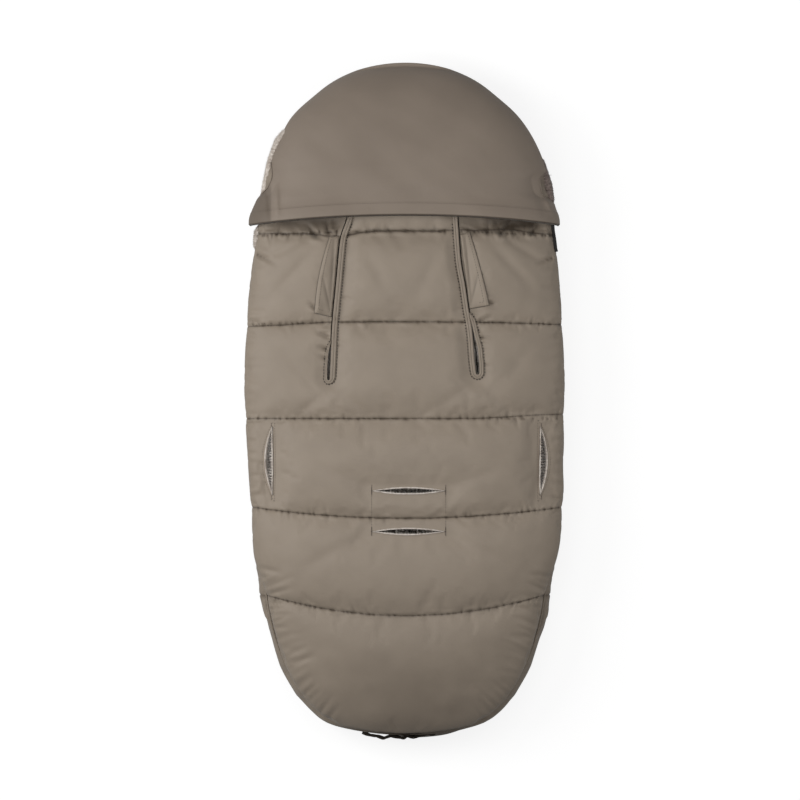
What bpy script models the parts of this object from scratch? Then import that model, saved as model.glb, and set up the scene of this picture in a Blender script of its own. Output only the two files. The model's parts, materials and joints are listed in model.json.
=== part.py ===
"""Stroller footmuff, lying on its front with its back panel up.

A quilted back pad and a quilted front cover form a sack that a zip closes on
each side.  A hood wall with an elastic rim goes round the head, and a smooth
pocket over the head end slips over the stroller's backrest.  The back has two
shoulder slits, two crotch slots and two waist slots for the harness.
Head toward +Y, floor at z = 0, back panel toward +Z.
"""
import math

import bmesh
import bpy
import numpy as np
from mathutils import Matrix, Vector

# Outline of the sack seen from above.
LENGTH = 0.999
HALF_LENGTH = LENGTH / 2
HALF_WIDTH = 0.235
WIDEST_Y = 0.005
SIDE_FALL = 0.0108
SIDE_FALL_RUN = 0.200
TOE_START_Y = -0.200
TOE_HOLD_Y = -0.260
TOE_TIP_IN = 0.006
TOE_TIP_Y = TOE_TIP_IN - HALF_LENGTH
TOE_RUN_POWER = 2.3
TOE_ROUND_POWER = 2.9
NECK_Y = 0.2085

# Head end: the pad's own crown and the pocket that covers it.
HEAD_START_Y = 0.270
PAD_CROWN_IN = 0.0027
PAD_CROWN_Y = HALF_LENGTH - PAD_CROWN_IN
POCKET_IN = 0.0175
POCKET_HALF = HALF_WIDTH - POCKET_IN
POCKET_START_Y = 0.280
POCKET_TIP_OUT = 0.0015
POCKET_TIP_Y = HALF_LENGTH + POCKET_TIP_OUT
POCKET_WALL = 0.004
POCKET_WALL_Y = HALF_LENGTH - POCKET_WALL
POCKET_WING = 0.0135
WING_TOP_Y = 0.311
WING_LOW_Y = 0.263

# Levels, from the floor up through the zip to the back pad.
FRONT_RIM_Z = 0.048
FRONT_TAPE_RISE = 0.012
ZIP_GAP_Z = FRONT_RIM_Z + FRONT_TAPE_RISE
BACK_TAPE_RISE = 0.0125
BACK_RIM_Z = ZIP_GAP_Z + BACK_TAPE_RISE
SIDE_RISE = 0.026
DOME_RISE = 0.042
DOME_ACROSS_POWER = 2.4
DOME_ROUND_POWER = 2.2
DOME_LEAST_SHARE = 0.15
DOME_HEAD_Y = 0.200
TOE_LIFT = 0.018

# Rim of both halves, where the zip tapes are sewn in.
RIM_IN = 0.0225
RIM_HALF = HALF_WIDTH - RIM_IN
RIM_THICK = 0.008
RIM_TIP_IN = 0.0115
RIM_TIP_Y = TOE_TIP_Y + RIM_TIP_IN
TOE_INSET = 0.009
TOE_INSET_START_Y = -0.220
TOE_INSET_END_Y = -0.300
BACK_TOE_IN = 0.0065
BACK_TOE_Y = TOE_TIP_Y + BACK_TOE_IN
CROWN_GAP = 0.0013
BACK_CROWN_Y = POCKET_WALL_Y - CROWN_GAP
FRONT_TOE_IN = 0.003
FRONT_TOE_Y = TOE_TIP_Y + FRONT_TOE_IN

# Quilting: each seam as its Y on the centreline and how far its ends run up.
NECK_SEAM = (0.250, -0.007)
CHEST_SEAM = (0.1165, -0.004)
WAIST_SEAM = (-0.026, 0.0)
SEAT_SEAM = (-0.1726, 0.016)
KNEE_SEAM = (-0.3157, 0.029)
TOE_END = (BACK_TOE_Y, 0.012)
CROWN_END = (BACK_CROWN_Y, -0.012)
FRONT_TOE_END = (FRONT_TOE_Y, 0.014)
PUFF_OUT = 0.011
PUFF_IN = 0.010
SEAM_THICK = 0.008
SEAM_DRAW = 0.0025
PUFF_POWER = 2.6
PUFF_ROUND = 0.6
BACK_CHANNEL_SHARES = (0.0, 0.14, 0.50, 0.86)
FRONT_CHANNEL_SHARES = (0.0, 0.12, 0.38, 0.62, 0.88)
TOE_CHANNEL_SHARES = (0.0, 0.14, 0.42, 0.70, 0.89)
HEAD_CHANNEL_SHARES = (0.0, 0.10, 0.22, 0.45, 0.72, 0.91)
END_WALL = 0.006
WALL_STEP = 0.0005
WALL_RISE = 0.0002
ACROSS_SHARES = (1.0, 0.96, 0.84, 0.62, 0.33)
INNER_SHARES = (1.0, 0.88, 0.52)

# Front cover.
FRONT_IN = 0.0145
FRONT_HALF = HALF_WIDTH - FRONT_IN
FRONT_FLAT_SHARES = (0.0, 0.30, 0.60, 0.80)
FRONT_BULGE_Z = 0.026
FRONT_LIFT = 0.006
FLAT_CUT = 0.0005
FRONT_FLOOR_Z = 0.014
FRONT_PUFF_IN = 0.014
FRONT_BOWL_POWER = 8

# Linings, sheets and clearances.
CLEAR = 0.0003
SHEET_GAP = 0.0007
LINING_THICK = 0.003
SHEET_THICK = 0.0024
POCKET_GAP = 0.010
POCKET_EDGE_GAP = 0.0005
POCKET_LOW_RISE = 0.006
POCKET_LOW_Z = BACK_RIM_Z + POCKET_LOW_RISE
POCKET_HEM = (0.274, -0.013)
HEM_FOLD = 0.018
HEM_EXTRA = 0.0012
POCKET_BOW = -0.011
POCKET_STEP_SHARES = (0.0, 0.12, 0.26, 0.40, 0.54, 0.67, 0.79, 0.89, 1.0)

# Slits, slots and their edges.
SLIT_TOP_WIDTH = 0.0098
SLIT_LOW_WIDTH = 0.0168
SLIT_LEFT = ((-0.0872, 0.290), (-0.1110, 0.0350))
SLIT_RIGHT = ((0.0737, 0.290), (0.1045, 0.0400))
BINDING_DIA = 0.0038
BINDING_RAISE = 0.0006
BINDING_STEP = 0.012
SLIT_TURN_STEPS = 6
LENS_STEPS = 8
CROTCH_HALF = 0.0535
CROTCH_WIDTH = 0.0150
CROTCH_X = 0.0045
CROTCH_Y = (-0.1320, -0.1918)
WAIST_HALF = 0.0495
WAIST_BULGE = 0.0145
WAIST_INNER_BULGE = 0.001
WAIST_LEFT_IN = 0.0400
WAIST_RIGHT_IN = 0.0385
WAIST_Y = -0.0890
WAIST_TILT = math.radians(20)
FACING_DIA = 0.0028
CUT_LOW_Z = 0.080
CUT_HIGH_Z = 0.175

# Flaps that come out of the shoulder slits: corners as (x, y).
FLAP_LEFT = ((-0.1003, 0.2385), (-0.1130, 0.2385), (-0.1300, 0.1290), (-0.1115, 0.1210))
FLAP_RIGHT = ((0.0905, 0.2385), (0.1000, 0.2430), (0.1250, 0.1390), (0.1065, 0.1330))
FLAP_THICK = 0.0020
FLAP_LIFT = 0.0006
FLAP_ACROSS = 4
FLAP_STEPS = 9

# Hood wall round the head, as (outward offset, z) of its section.
HOOD_START_Y = 0.2150
HOOD_TOP_Z = BACK_RIM_Z - SHEET_GAP
HOOD_BULGE_Z = 0.045
HOOD_TURN_Z = 0.022
HOOD_LOW_Z = 0.012
HOOD_TOP_OUT = 0.004
HOOD_BULGE_OUT = 0.009
HOOD_THICK = 0.010
HOOD_RIM_DIA = 0.011
HOOD_RIM_IN = 0.008
HOOD_RIM_Z = 0.0062
HOOD_STEPS = 26

# Zips.
TAPE_THICK = 0.0012
TAPE_HIGH_Y = 0.2000
BEAD_WIDTH = 0.0024
BEAD_HEIGHT = 0.0026
BEAD_GAP = 0.0016
STOP_LENGTH = 0.0035
SLIDER_TOP_Y = 0.1900
SLIDER_LENGTH = 0.014
SLIDER_PLATE = 0.0012
SLIDER_ROOM = 0.0032
SLIDER_HEIGHT = 0.0110
SLIDER_WEB = 0.0009
ARCH_LENGTH = 0.0085
ARCH_WIDTH = 0.0026
ARCH_BAR = 0.0013
ARCH_HOLE = 0.0027
PULL_THICK = 0.0013
PULL_WIDTH = 0.0080
PULL_LENGTH = 0.0300
PULL_HEAD = 0.0016
PULL_WINDOW_WIDTH = 0.0042
PULL_WINDOW_LENGTH = 0.0054
PULL_BEVEL = 0.0004

# Neck binding, toe gusset, piping and toe strip.
NECK_BINDING_DIA = 0.0050
NECK_BINDING_IN = 0.0165
GUSSET_THICK = 0.0020
GUSSET_HALF = 0.062
TOE_STEPS = 20
PIPING_DIA = 0.0032
PIPING_OUT = 0.0050
PIPING_DROP = 0.0019
STRIP_RIGHT_X = 0.0290
STRIP_LEFT_X = -0.0630
STRIP_TACK_SHARE = 0.40
STRIP_LOW_Z = 0.026
STRIP_HEIGHT = 0.011
STRIP_THICK = 0.0012
STRIP_Y = STRIP_THICK / 2 - HALF_LENGTH
STRIP_WAVE = 0.0015
STRIP_WAVES = 7
STRIP_STEPS = 42

FOLD_IN = 0.0055
FOLD_Y = TOE_TIP_Y + FOLD_IN
FOLD_Z = BACK_RIM_Z - CLEAR

BACK_SEAMS = (CROWN_END, NECK_SEAM, CHEST_SEAM, WAIST_SEAM, SEAT_SEAM, KNEE_SEAM,
              TOE_END)


def clear_scene():
    """Empty the file of its start-up objects."""
    for thing in list(bpy.data.objects):
        bpy.data.objects.remove(thing)


def make_material(name, colour, roughness, metallic=0.0):
    """One Principled material."""
    material = bpy.data.materials.new(name)
    material.use_nodes = True
    shader = material.node_tree.nodes["Principled BSDF"]
    shader.inputs["Base Color"].default_value = (*colour, 1.0)
    shader.inputs["Roughness"].default_value = roughness
    shader.inputs["Metallic"].default_value = metallic
    material.diffuse_color = (*colour, 1.0)
    return material


def make_collection(name):
    """A collection under the scene's own."""
    group = bpy.data.collections.new(name)
    bpy.context.scene.collection.children.link(group)
    return group


def add_solid(name, points, faces, material, smooth=True, origin=None):
    """Make one object from points and faces, its normals turned outward."""
    mesh = bpy.data.meshes.new(name)
    centre = Vector(origin) if origin else Vector()
    mesh.from_pydata([Vector(p) - centre for p in points], [], faces)
    work = bmesh.new()
    work.from_mesh(mesh)
    bmesh.ops.recalc_face_normals(work, faces=work.faces)
    work.to_mesh(mesh)
    work.free()
    for face in mesh.polygons:
        face.use_smooth = smooth
    if material:
        mesh.materials.append(material)
    thing = bpy.data.objects.new(name, mesh)
    thing.location = centre
    PART.objects.link(thing)
    return thing


def cap_strip(first, second):
    """Fill between two chains of points with a strip of triangles."""
    faces = []
    i, j = 0, 0
    while i < len(first) - 1 or j < len(second) - 1:
        if (i + 1) * (len(second) - 1) <= (j + 1) * (len(first) - 1):
            faces.append((first[i], first[i + 1], second[j]))
            i += 1
        else:
            faces.append((first[i], second[j + 1], second[j]))
            j += 1
    return faces


def loft(name, rings, material, closed=False, smooth=True, split=0):
    """Skin a row of equal rings, with a cap at each end unless it closes.

    Every skin face is split the same way for its place, so that layers nest.
    A split ring has an outer and an inner chain, and its cap runs between them.
    """
    count = len(rings[0])
    points = [p for ring in rings for p in ring]
    faces = []
    pairs = len(rings) if closed else len(rings) - 1
    for i in range(pairs):
        near = i * count
        far = ((i + 1) % len(rings)) * count
        for j in range(count):
            k = (j + 1) % count
            if abs(points[near + j][0]) > abs(points[near + k][0]):
                faces += [(near + j, near + k, far + k), (near + j, far + k, far + j)]
            else:
                faces += [(near + j, near + k, far + j), (near + k, far + k, far + j)]
    if not closed:
        for start in (0, (len(rings) - 1) * count):
            ends = [start + j for j in range(count)]
            if split:
                faces += cap_strip(ends[:split], ends[split:][::-1])
            else:
                faces.append(tuple(ends))
    return add_solid(name, points, faces, material, smooth)


def sweep(name, path, section, material, closed=False, smooth=True):
    """Carry a section of (outward, up) pairs along a path of (point, outward)."""
    up = Vector((0, 0, 1))
    rings = [[point + side * out + up * rise for out, rise in section]
             for point, side in path]
    return loft(name, rings, material, closed, smooth)


def disc(diameter, sides):
    """A round section for a sweep."""
    turns = [2 * math.pi * i / sides for i in range(sides)]
    return [(diameter / 2 * math.cos(a), diameter / 2 * math.sin(a)) for a in turns]


def box_section(width, low, high):
    """A flat section for a sweep, between two levels."""
    return [(-width / 2, low), (width / 2, low), (width / 2, high), (-width / 2, high)]


def add_block(name, low, high, material=None, origin=None):
    """A box between two corners."""
    (x0, y0, z0), (x1, y1, z1) = low, high
    points = [(x, y, z) for x in (x0, x1) for y in (y0, y1) for z in (z0, z1)]
    faces = [(0, 1, 3, 2), (4, 6, 7, 5), (0, 4, 5, 1), (2, 3, 7, 6), (0, 2, 6, 4),
             (1, 5, 7, 3)]
    return add_solid(name, points, faces, material, False, origin)


def combine(target, tool, operation):
    """Join or cut with one exact Boolean; the tool goes to the cutters."""
    for group in tool.users_collection:
        group.objects.unlink(tool)
    CUTTERS.objects.link(tool)
    tool.hide_render = True
    tool.display_type = "WIRE"
    change = target.modifiers.new(tool.name, "BOOLEAN")
    change.operation = operation
    change.solver = "EXACT"
    change.object = tool


def pivot(name, place):
    """An empty on a joint's axis."""
    empty = bpy.data.objects.new(name, None)
    empty.location = place
    PART.objects.link(empty)
    return empty


def hang(pieces, empty):
    """Parent pieces to an empty and keep them where they are."""
    for piece in pieces:
        piece.parent = empty
        piece.matrix_parent_inverse = Matrix.Translation(empty.location).inverted()


def smooth_step(value):
    """Go from 0 to 1 with level ends."""
    value = min(max(value, 0), 1)
    return value * value * (3 - 2 * value)


def side_half(y):
    """Half width of the sack's slowly bulging side."""
    return HALF_WIDTH - SIDE_FALL * ((y - WIDEST_Y) / SIDE_FALL_RUN) ** 2


def toe_share(y, tip):
    """How far the toe's curve has closed the width in, 1 where it has not."""
    run = min(max((TOE_START_Y - y) / (TOE_START_Y - tip), 0), 1)
    return (1 - run ** TOE_RUN_POWER) ** (1 / TOE_ROUND_POWER)


def sack_half(y):
    """Half width of the whole sack, the photographed outline."""
    return side_half(max(y, TOE_HOLD_Y)) * toe_share(y, TOE_TIP_Y)


def back_half(y):
    """Half width of the back pad, inside the cover's edge at the toe."""
    inset = smooth_step((y - TOE_INSET_START_Y) / (TOE_INSET_END_Y - TOE_INSET_START_Y))
    if y < HEAD_START_Y:
        return sack_half(y) - TOE_INSET * inset
    run = min((y - HEAD_START_Y) / (PAD_CROWN_Y - HEAD_START_Y), 1)
    return side_half(HEAD_START_Y) * math.sqrt(1 - run * run)


def front_half(y):
    """Half width of the front cover, under the back pad until the toe."""
    return min(sack_half(y), FRONT_HALF)


def rim_half(y):
    """Half width of the line on which the zip and the toe gusset stand."""
    if y > HEAD_START_Y - CLEAR:
        return back_half(y) - RIM_THICK / 2 - CLEAR
    side = min(side_half(max(y, TOE_HOLD_Y)) / side_half(TOE_START_Y), 1)
    wide = min(RIM_HALF, sack_half(y) - RIM_THICK) if y > 0 else RIM_HALF * side
    return wide * toe_share(y, RIM_TIP_Y)


def pocket_half(y):
    """Half width of the pocket, with the wings by its hem."""
    run = min(max((y - POCKET_START_Y) / (POCKET_TIP_Y - POCKET_START_Y), 0), 1)
    wing = smooth_step((WING_TOP_Y - y) / (WING_TOP_Y - WING_LOW_Y))
    return POCKET_HALF * math.sqrt(1 - run * run) + POCKET_WING * wing


def dome_share(y):
    """Height of the sack along its length, 1 in the middle."""
    if y < TOE_START_Y:
        run = (TOE_START_Y - y) / (TOE_START_Y - TOE_TIP_Y)
    else:
        run = max(y - DOME_HEAD_Y, 0) / (PAD_CROWN_Y - DOME_HEAD_Y)
    return max(math.sqrt(max(1 - run ** TOE_RUN_POWER, 0)), DOME_LEAST_SHARE)


def puff_share(share):
    """Crown of one sewn channel, 0 on both its seams."""
    return (1 - abs(2 * share - 1) ** PUFF_POWER) ** PUFF_ROUND


def across_share(u):
    """Section of the dome, 1 on the centreline and 0 at the side."""
    return max(1 - abs(u) ** DOME_ACROSS_POWER, 0) ** (1 / DOME_ROUND_POWER)


def channel_rows(seams, middle_shares, walled_head):
    """Rows of a quilted pad from head to toe: each as (y, bow, puff, solid).

    The pad is solid at its toe, and at its head if that end has a wall.
    """
    rows = []
    channels = [middle_shares] * (len(seams) - 2) + [TOE_CHANNEL_SHARES]
    if walled_head:
        channels[0] = HEAD_CHANNEL_SHARES
    for i, shares in enumerate(channels):
        (y0, bow0), (y1, bow1) = seams[i], seams[i + 1]
        for share in shares:
            y = y0 + (y1 - y0) * share
            rows.append((y, bow0 + (bow1 - bow0) * share, puff_share(share), False))
    toe_y, toe_bow = seams[-1]
    rows.append((toe_y + END_WALL + WALL_STEP, toe_bow, 0.0, False))
    rows.append((toe_y + END_WALL, toe_bow, 0.0, True))
    rows.append((toe_y, toe_bow, 0.0, True))
    if walled_head:
        head_y, head_bow = seams[0]
        rows[0] = (head_y, head_bow, 0.0, True)
        rows.insert(1, (head_y - END_WALL, head_bow, 0.0, True))
        rows.insert(2, (head_y - END_WALL - WALL_STEP, head_bow, 0.0, False))
    return rows


BACK_ROWS = channel_rows(BACK_SEAMS, BACK_CHANNEL_SHARES, True)
FRONT_ROWS = channel_rows(((NECK_Y, 0.0), CHEST_SEAM, WAIST_SEAM, SEAT_SEAM, KNEE_SEAM,
                           FRONT_TOE_END), FRONT_CHANNEL_SHARES, False)


def row_at(y):
    """Bow and puff of the back's row that crosses the centreline at y."""
    places = [row[0] for row in BACK_ROWS][::-1]
    bows = [row[1] for row in BACK_ROWS][::-1]
    puffs = [row[2] for row in BACK_ROWS][::-1]
    return float(np.interp(y, places, bows)), float(np.interp(y, places, puffs))


def top_height(y, puff, u):
    """Outer surface of the back pad."""
    share = dome_share(y)
    crown = PUFF_OUT * puff * (1 - u ** 4) * share
    return BACK_RIM_Z + SIDE_RISE * share + DOME_RISE * share * across_share(u) + crown


def inner_height(y, puff, u, gap=0.0):
    """Inner surface of the back pad, or a surface a gap inside it."""
    share = dome_share(y)
    middle = (SIDE_RISE + DOME_RISE - SEAM_THICK - PUFF_IN * puff * (1 - u ** 4)) * share
    return BACK_RIM_Z + (middle - gap) * across_share(u)


def pad_height(x, y):
    """Outer surface of the back pad above a place in plan."""
    row = y
    for _ in range(4):
        bow, puff = row_at(row)
        u = min(abs(x) / back_half(row + bow), 1)
        row = y - bow * u * u
    return top_height(row, puff, u)


def mirrored(points):
    """A section's right half, from outside in, and its mirror on the left."""
    left = [(-x, z) for x, z in reversed(points) if x > 0]
    return points + left


def ring_at(y, bow, wide, section):
    """Put a section of (x, z) on its bowed row."""
    return [Vector((x, y + bow * (x / wide) ** 2, z)) for x, z in section]


def back_ring(row):
    """Section of the back pad on one of its rows."""
    y, bow, puff, solid = row
    wide = back_half(y + bow) - SEAM_DRAW * (1 - puff)
    rim = min(rim_half(y + bow), wide - RIM_THICK / 2 - CLEAR)
    edge = rim + RIM_THICK / 2
    rise = SIDE_RISE * dome_share(y)
    bulge = math.sin(math.pi / 4)
    outer = [(edge, BACK_RIM_Z),
             (edge + (wide - edge) * bulge, BACK_RIM_Z + rise * (1 - bulge))]
    outer += [(u * wide, top_height(y, puff, u)) for u in ACROSS_SHARES]
    outer.append((0, top_height(y, puff, 0)))
    wide_in = rim - RIM_THICK / 2
    inner = []
    for u in INNER_SHARES + (0,):
        level = BACK_RIM_Z + WALL_RISE * across_share(u) if solid else inner_height(y, puff, u)
        inner.append((u * wide_in, level))
    section = mirrored(outer) + mirrored(inner)[::-1]
    return ring_at(y, bow, wide, section)


def lining_ring(row, drop=SHEET_GAP):
    """Section of the fleece under the back pad."""
    y, bow, puff, _ = row
    wide = back_half(y + bow) - SEAM_DRAW * (1 - puff)
    rim = min(rim_half(y + bow), wide - RIM_THICK / 2 - CLEAR)
    wide_in = rim - RIM_THICK / 2
    rows = []
    for gap in (drop, drop + LINING_THICK):
        half = wide_in - gap
        face = [(u * half, inner_height(y, puff, u, gap)) for u in INNER_SHARES]
        face.append((0, inner_height(y, puff, 0, gap)))
        rows.append(mirrored(face))
    return ring_at(y, bow, wide, rows[0] + rows[1][::-1])


def front_ring(row):
    """Section of the front cover on one of its rows."""
    y, bow, puff, solid = row
    wide = front_half(y + bow)
    rim = min(rim_half(y + bow), wide - RIM_THICK)
    lift = TOE_LIFT * (1 - dome_share(y)) * smooth_step((TOE_START_Y - y) / abs(TOE_TIP_Y))
    low = max(FRONT_LIFT * (1 - puff) - FLAT_CUT, 0) + lift
    edge = rim + RIM_THICK / 2
    outer = [(edge, FRONT_RIM_Z), ((edge + wide) / 2, FRONT_RIM_Z * 0.86),
             (wide, FRONT_BULGE_Z + lift / 2), (wide * 0.985, FRONT_BULGE_Z / 2 + lift),
             (wide * 0.92, FRONT_BULGE_Z / 8 + lift)]
    outer += [(wide * u, low) for u in reversed(FRONT_FLAT_SHARES)]
    inner = []
    for u in INNER_SHARES + (0,):
        level = FRONT_RIM_Z - WALL_RISE * across_share(u) if solid else front_floor(y, puff, u)
        inner.append((u * (rim - RIM_THICK / 2), level))
    section = mirrored(outer) + mirrored(inner)[::-1]
    return ring_at(y, bow, wide, section)


def front_floor(y, puff, u):
    """Inner surface of the front cover, a bowl that rises to the rim."""
    lift = TOE_LIFT * (1 - dome_share(y))
    floor = FRONT_FLOOR_Z + FRONT_PUFF_IN * puff * (1 - u ** 4) + lift
    return floor + (FRONT_RIM_Z - floor) * u ** FRONT_BOWL_POWER


def front_lining_ring(row):
    """Section of the fleece on the front cover."""
    y, bow, puff, _ = row
    wide = front_half(y + bow)
    rim = min(rim_half(y + bow), wide - RIM_THICK)
    faces = []
    for gap in (SHEET_GAP, SHEET_GAP + LINING_THICK):
        half = rim - RIM_THICK / 2 - gap
        face = [(half, FRONT_RIM_Z)]
        face += [(u * half, min(front_floor(y, puff, u) + gap, FRONT_RIM_Z))
                 for u in INNER_SHARES[1:]]
        face.append((0, front_floor(y, puff, 0) + gap))
        faces.append(mirrored(face))
    return ring_at(y, bow, wide, faces[0] + faces[1][::-1])


def toe_edge(x):
    """The cover's front edge at the toe."""
    y, bow = FRONT_TOE_END
    return y + bow * (x / front_half(y + bow)) ** 2


def pocket_ring(y, bow, solid, fold):
    """Section of the pocket, a sheet over the head end, solid at the crown."""
    wide = pocket_half(y + bow)
    row_bow, puff = row_at(min(y, BACK_CROWN_Y))
    share = dome_share(y)
    side = BACK_RIM_Z + SIDE_RISE * share + POCKET_EDGE_GAP

    def height(u):
        gap = POCKET_EDGE_GAP + POCKET_GAP * share * (1 - u ** 4)
        return side + DOME_RISE * share * across_share(u) + gap + PUFF_OUT * share * (1 - u ** 4)

    thick = SHEET_THICK + fold
    low = POCKET_LOW_Z
    outer = [(wide, low)] + [(u * wide, height(u) + thick) for u in ACROSS_SHARES]
    outer.append((0, height(0) + thick))
    half = wide - SHEET_THICK
    if solid:
        inner = [(half, low)] + [(u * half, low + CLEAR * (1 - u)) for u in ACROSS_SHARES[1:]]
        inner.append((0, low + CLEAR))
        inner.insert(1, (half * 0.99, low + CLEAR / 10))
    else:
        inner = [(half, low)] + [(u * half, height(u)) for u in ACROSS_SHARES]
        inner.append((0, height(0)))
    return ring_at(y, bow, wide, mirrored(outer) + mirrored(inner)[::-1])


def head_path(inset):
    """The hood's line in plan: up one side, round the crown and down."""
    half = side_half(HEAD_START_Y) - inset
    rise = PAD_CROWN_Y - HEAD_START_Y - inset
    places = [(half, HOOD_START_Y)]
    for i in range(HOOD_STEPS + 1):
        turn = math.pi * i / HOOD_STEPS
        places.append((half * math.cos(turn), HEAD_START_Y + rise * math.sin(turn)))
    places.append((-half, HOOD_START_Y))
    return with_sides([Vector((x, y, 0)) for x, y in places])


def rim_line():
    """The zip's line in plan, from the neck down the right side to the toe's middle."""
    places = [(RIM_HALF, TAPE_HIGH_Y), (RIM_HALF, TOE_START_Y)]
    for i in range(1, TOE_STEPS):
        turn = math.pi / 2 * i / TOE_STEPS
        y = TOE_START_Y - (TOE_START_Y - RIM_TIP_Y) * math.sin(turn) ** (2 / TOE_RUN_POWER)
        places.append((rim_half(y), y))
    places.append((0, RIM_TIP_Y))
    return [Vector((x, y, 0)) for x, y in places]


def both_sides(points):
    """Carry a line that ends on the centreline on round to the left."""
    return points + [Vector((-p.x, p.y, p.z)) for p in reversed(points[:-1])]


def line_length(points):
    """Length of a line."""
    return sum((far - near).length for near, far in zip(points, points[1:]))


def stretch(points, start, end):
    """The part of a line between two distances along it."""
    kept = []
    gone = 0
    for near, far in zip(points, points[1:]):
        step = (far - near).length
        if start <= gone < end:
            kept.append(near)
        for mark in (start, end):
            if gone < mark <= gone + step:
                kept.append(near.lerp(far, (mark - gone) / step))
        gone += step
    return kept


def with_sides(points, closed=False, outward=True):
    """Pair each point of a plan path with its side, turned outward unless it loops back."""
    count = len(points)
    path = []
    for i, point in enumerate(points):
        before = points[(i - 1) % count] if closed else points[max(i - 1, 0)]
        after = points[(i + 1) % count] if closed else points[min(i + 1, count - 1)]
        along = (after - before).normalized()
        side = Vector((along.y, -along.x, 0)).normalized()
        path.append((point, outward_of(point, side) if outward and not closed else side))
    return path


def outward_of(point, side):
    """Turn a direction away from the middle of the sack."""
    middle = Vector((0, min(max(point.y, TOE_START_Y), HEAD_START_Y), 0))
    away = Vector((point.x, point.y, 0)) - middle
    return side if side.dot(away) > 0 else -side


def slit_outline(ends, steps, inset=0.0):
    """Plan of a slit: two straight sides that part, and a round lower end."""
    top, low = Vector(ends[0]), Vector(ends[1])
    along = (low - top).normalized()
    side = Vector((-along.y, along.x))
    first, second = [], []
    for i in range(steps):
        share = i / steps
        width = SLIT_TOP_WIDTH + (SLIT_LOW_WIDTH - SLIT_TOP_WIDTH) * share
        first.append(top.lerp(low, share) + side * (width / 2 - inset))
        second.append(top.lerp(low, share) - side * (width / 2 - inset))
    half = SLIT_LOW_WIDTH / 2 - inset
    turn = []
    for i in range(SLIT_TURN_STEPS + 1):
        angle = math.pi * i / SLIT_TURN_STEPS
        turn.append(low + side * half * math.cos(angle) + along * half * math.sin(angle))
    return first + turn + second[::-1]


def lens_outline(centre, half_long, rises, upright, inset=0.0):
    """Plan of a slot: two arcs that meet in points, each with its own rise."""
    points = []
    end = math.sqrt(1 - 2 * inset / sum(rises))
    for rise, way in ((rises[0], 1), (rises[1], -1)):
        for i in range(LENS_STEPS):
            share = end * (2 * i / LENS_STEPS - 1)
            along = way * share * half_long
            out = way * (rise * (1 - share * share) - inset)
            place = (out, -along) if upright else (along, out)
            points.append(Vector((centre[0] + place[0], centre[1] + place[1])))
    return points


def cutter(name, outline, low, high, lean=0.0):
    """A prism on a plan outline, leaned sideways as it goes down."""
    rings = []
    for level in (low, high):
        shift = (level - CUT_MIDDLE_Z) * math.tan(lean)
        rings.append([Vector((p.x + shift, p.y, level)) for p in outline])
    return loft(name, rings, None, smooth=False)


# Materials.
clear_scene()
PART = make_collection("stroller_footmuff")
CUTTERS = make_collection("cutters")
CUT_MIDDLE_Z = BACK_RIM_Z + SIDE_RISE + DOME_RISE / 2
CLOTH = make_material("taupe_polyester", (0.245, 0.205, 0.155), 0.55)
FLEECE = make_material("grey_fleece", (0.36, 0.31, 0.27), 0.95)
TRIM = make_material("taupe_binding", (0.20, 0.165, 0.125), 0.6)
TAPE = make_material("black_zip_tape", (0.02, 0.018, 0.016), 0.7)
ELASTIC = make_material("dark_elastic", (0.045, 0.038, 0.032), 0.8)
METAL = make_material("zip_metal", (0.22, 0.21, 0.20), 0.35, 1.0)

# The front cover, which lies on the floor.
front_shell = loft("front_shell", [front_ring(row) for row in FRONT_ROWS], CLOTH,
                   split=2 * (len(FRONT_FLAT_SHARES) + 5) - 1)
open_rows = [row for row in FRONT_ROWS if not row[-1]]
front_lining = loft("front_lining", [front_lining_ring(row) for row in open_rows[:-1]],
                    FLEECE, split=2 * len(INNER_SHARES) + 1)

neck_line = []
for share in np.linspace(1, -1, 17):
    x = (RIM_HALF - NECK_BINDING_IN) * share
    level = (front_floor(NECK_Y, 0, x / (RIM_HALF - RIM_THICK / 2)) + FRONT_LIFT) / 2
    neck_line.append(Vector((x, NECK_Y + NECK_BINDING_DIA / 2 + CLEAR, level)))
neck_binding = sweep("neck_binding", [(point, Vector((0, 1, 0))) for point in neck_line],
                     disc(NECK_BINDING_DIA, 8), TRIM)

gusset_z = (FRONT_RIM_Z + CLEAR, BACK_RIM_Z - CLEAR)
rim = rim_line()
rim_length = line_length(rim)
gusset_line = both_sides(stretch(rim, rim_length - GUSSET_HALF, rim_length + CLEAR) + rim[-1:])
toe_gusset = sweep("toe_gusset", with_sides(gusset_line), box_section(GUSSET_THICK, *gusset_z),
                   CLOTH)

strip_path = []
for i in range(STRIP_STEPS + 1):
    share = i / STRIP_STEPS
    x = STRIP_RIGHT_X + (STRIP_LEFT_X - STRIP_RIGHT_X) * share
    wave = STRIP_WAVE * math.sin(math.pi * STRIP_WAVES * share) ** 2
    sewn_y = toe_edge(x) - STRIP_THICK / 2 - CLEAR - wave
    free_y = STRIP_Y + STRIP_WAVE - wave
    free = smooth_step(share / STRIP_TACK_SHARE - 1)
    y = sewn_y + (free_y - sewn_y) * free
    strip_path.append((Vector((x, y, 0)), Vector((0, -1, 0))))
toe_elastic = sweep("toe_elastic", strip_path,
                    box_section(STRIP_THICK, STRIP_LOW_Z, STRIP_LOW_Z + STRIP_HEIGHT),
                    ELASTIC)

# The quilted back with its slits and slots.
back_shell = loft("back_shell", [back_ring(row) for row in BACK_ROWS], CLOTH,
                  split=2 * len(ACROSS_SHARES) + 5)
open_rows = [row for row in BACK_ROWS if not row[-1]]
back_lining = loft("back_lining", [lining_ring(row) for row in open_rows[1:-1]], FLEECE,
                   split=2 * len(INNER_SHARES) + 1)

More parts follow.
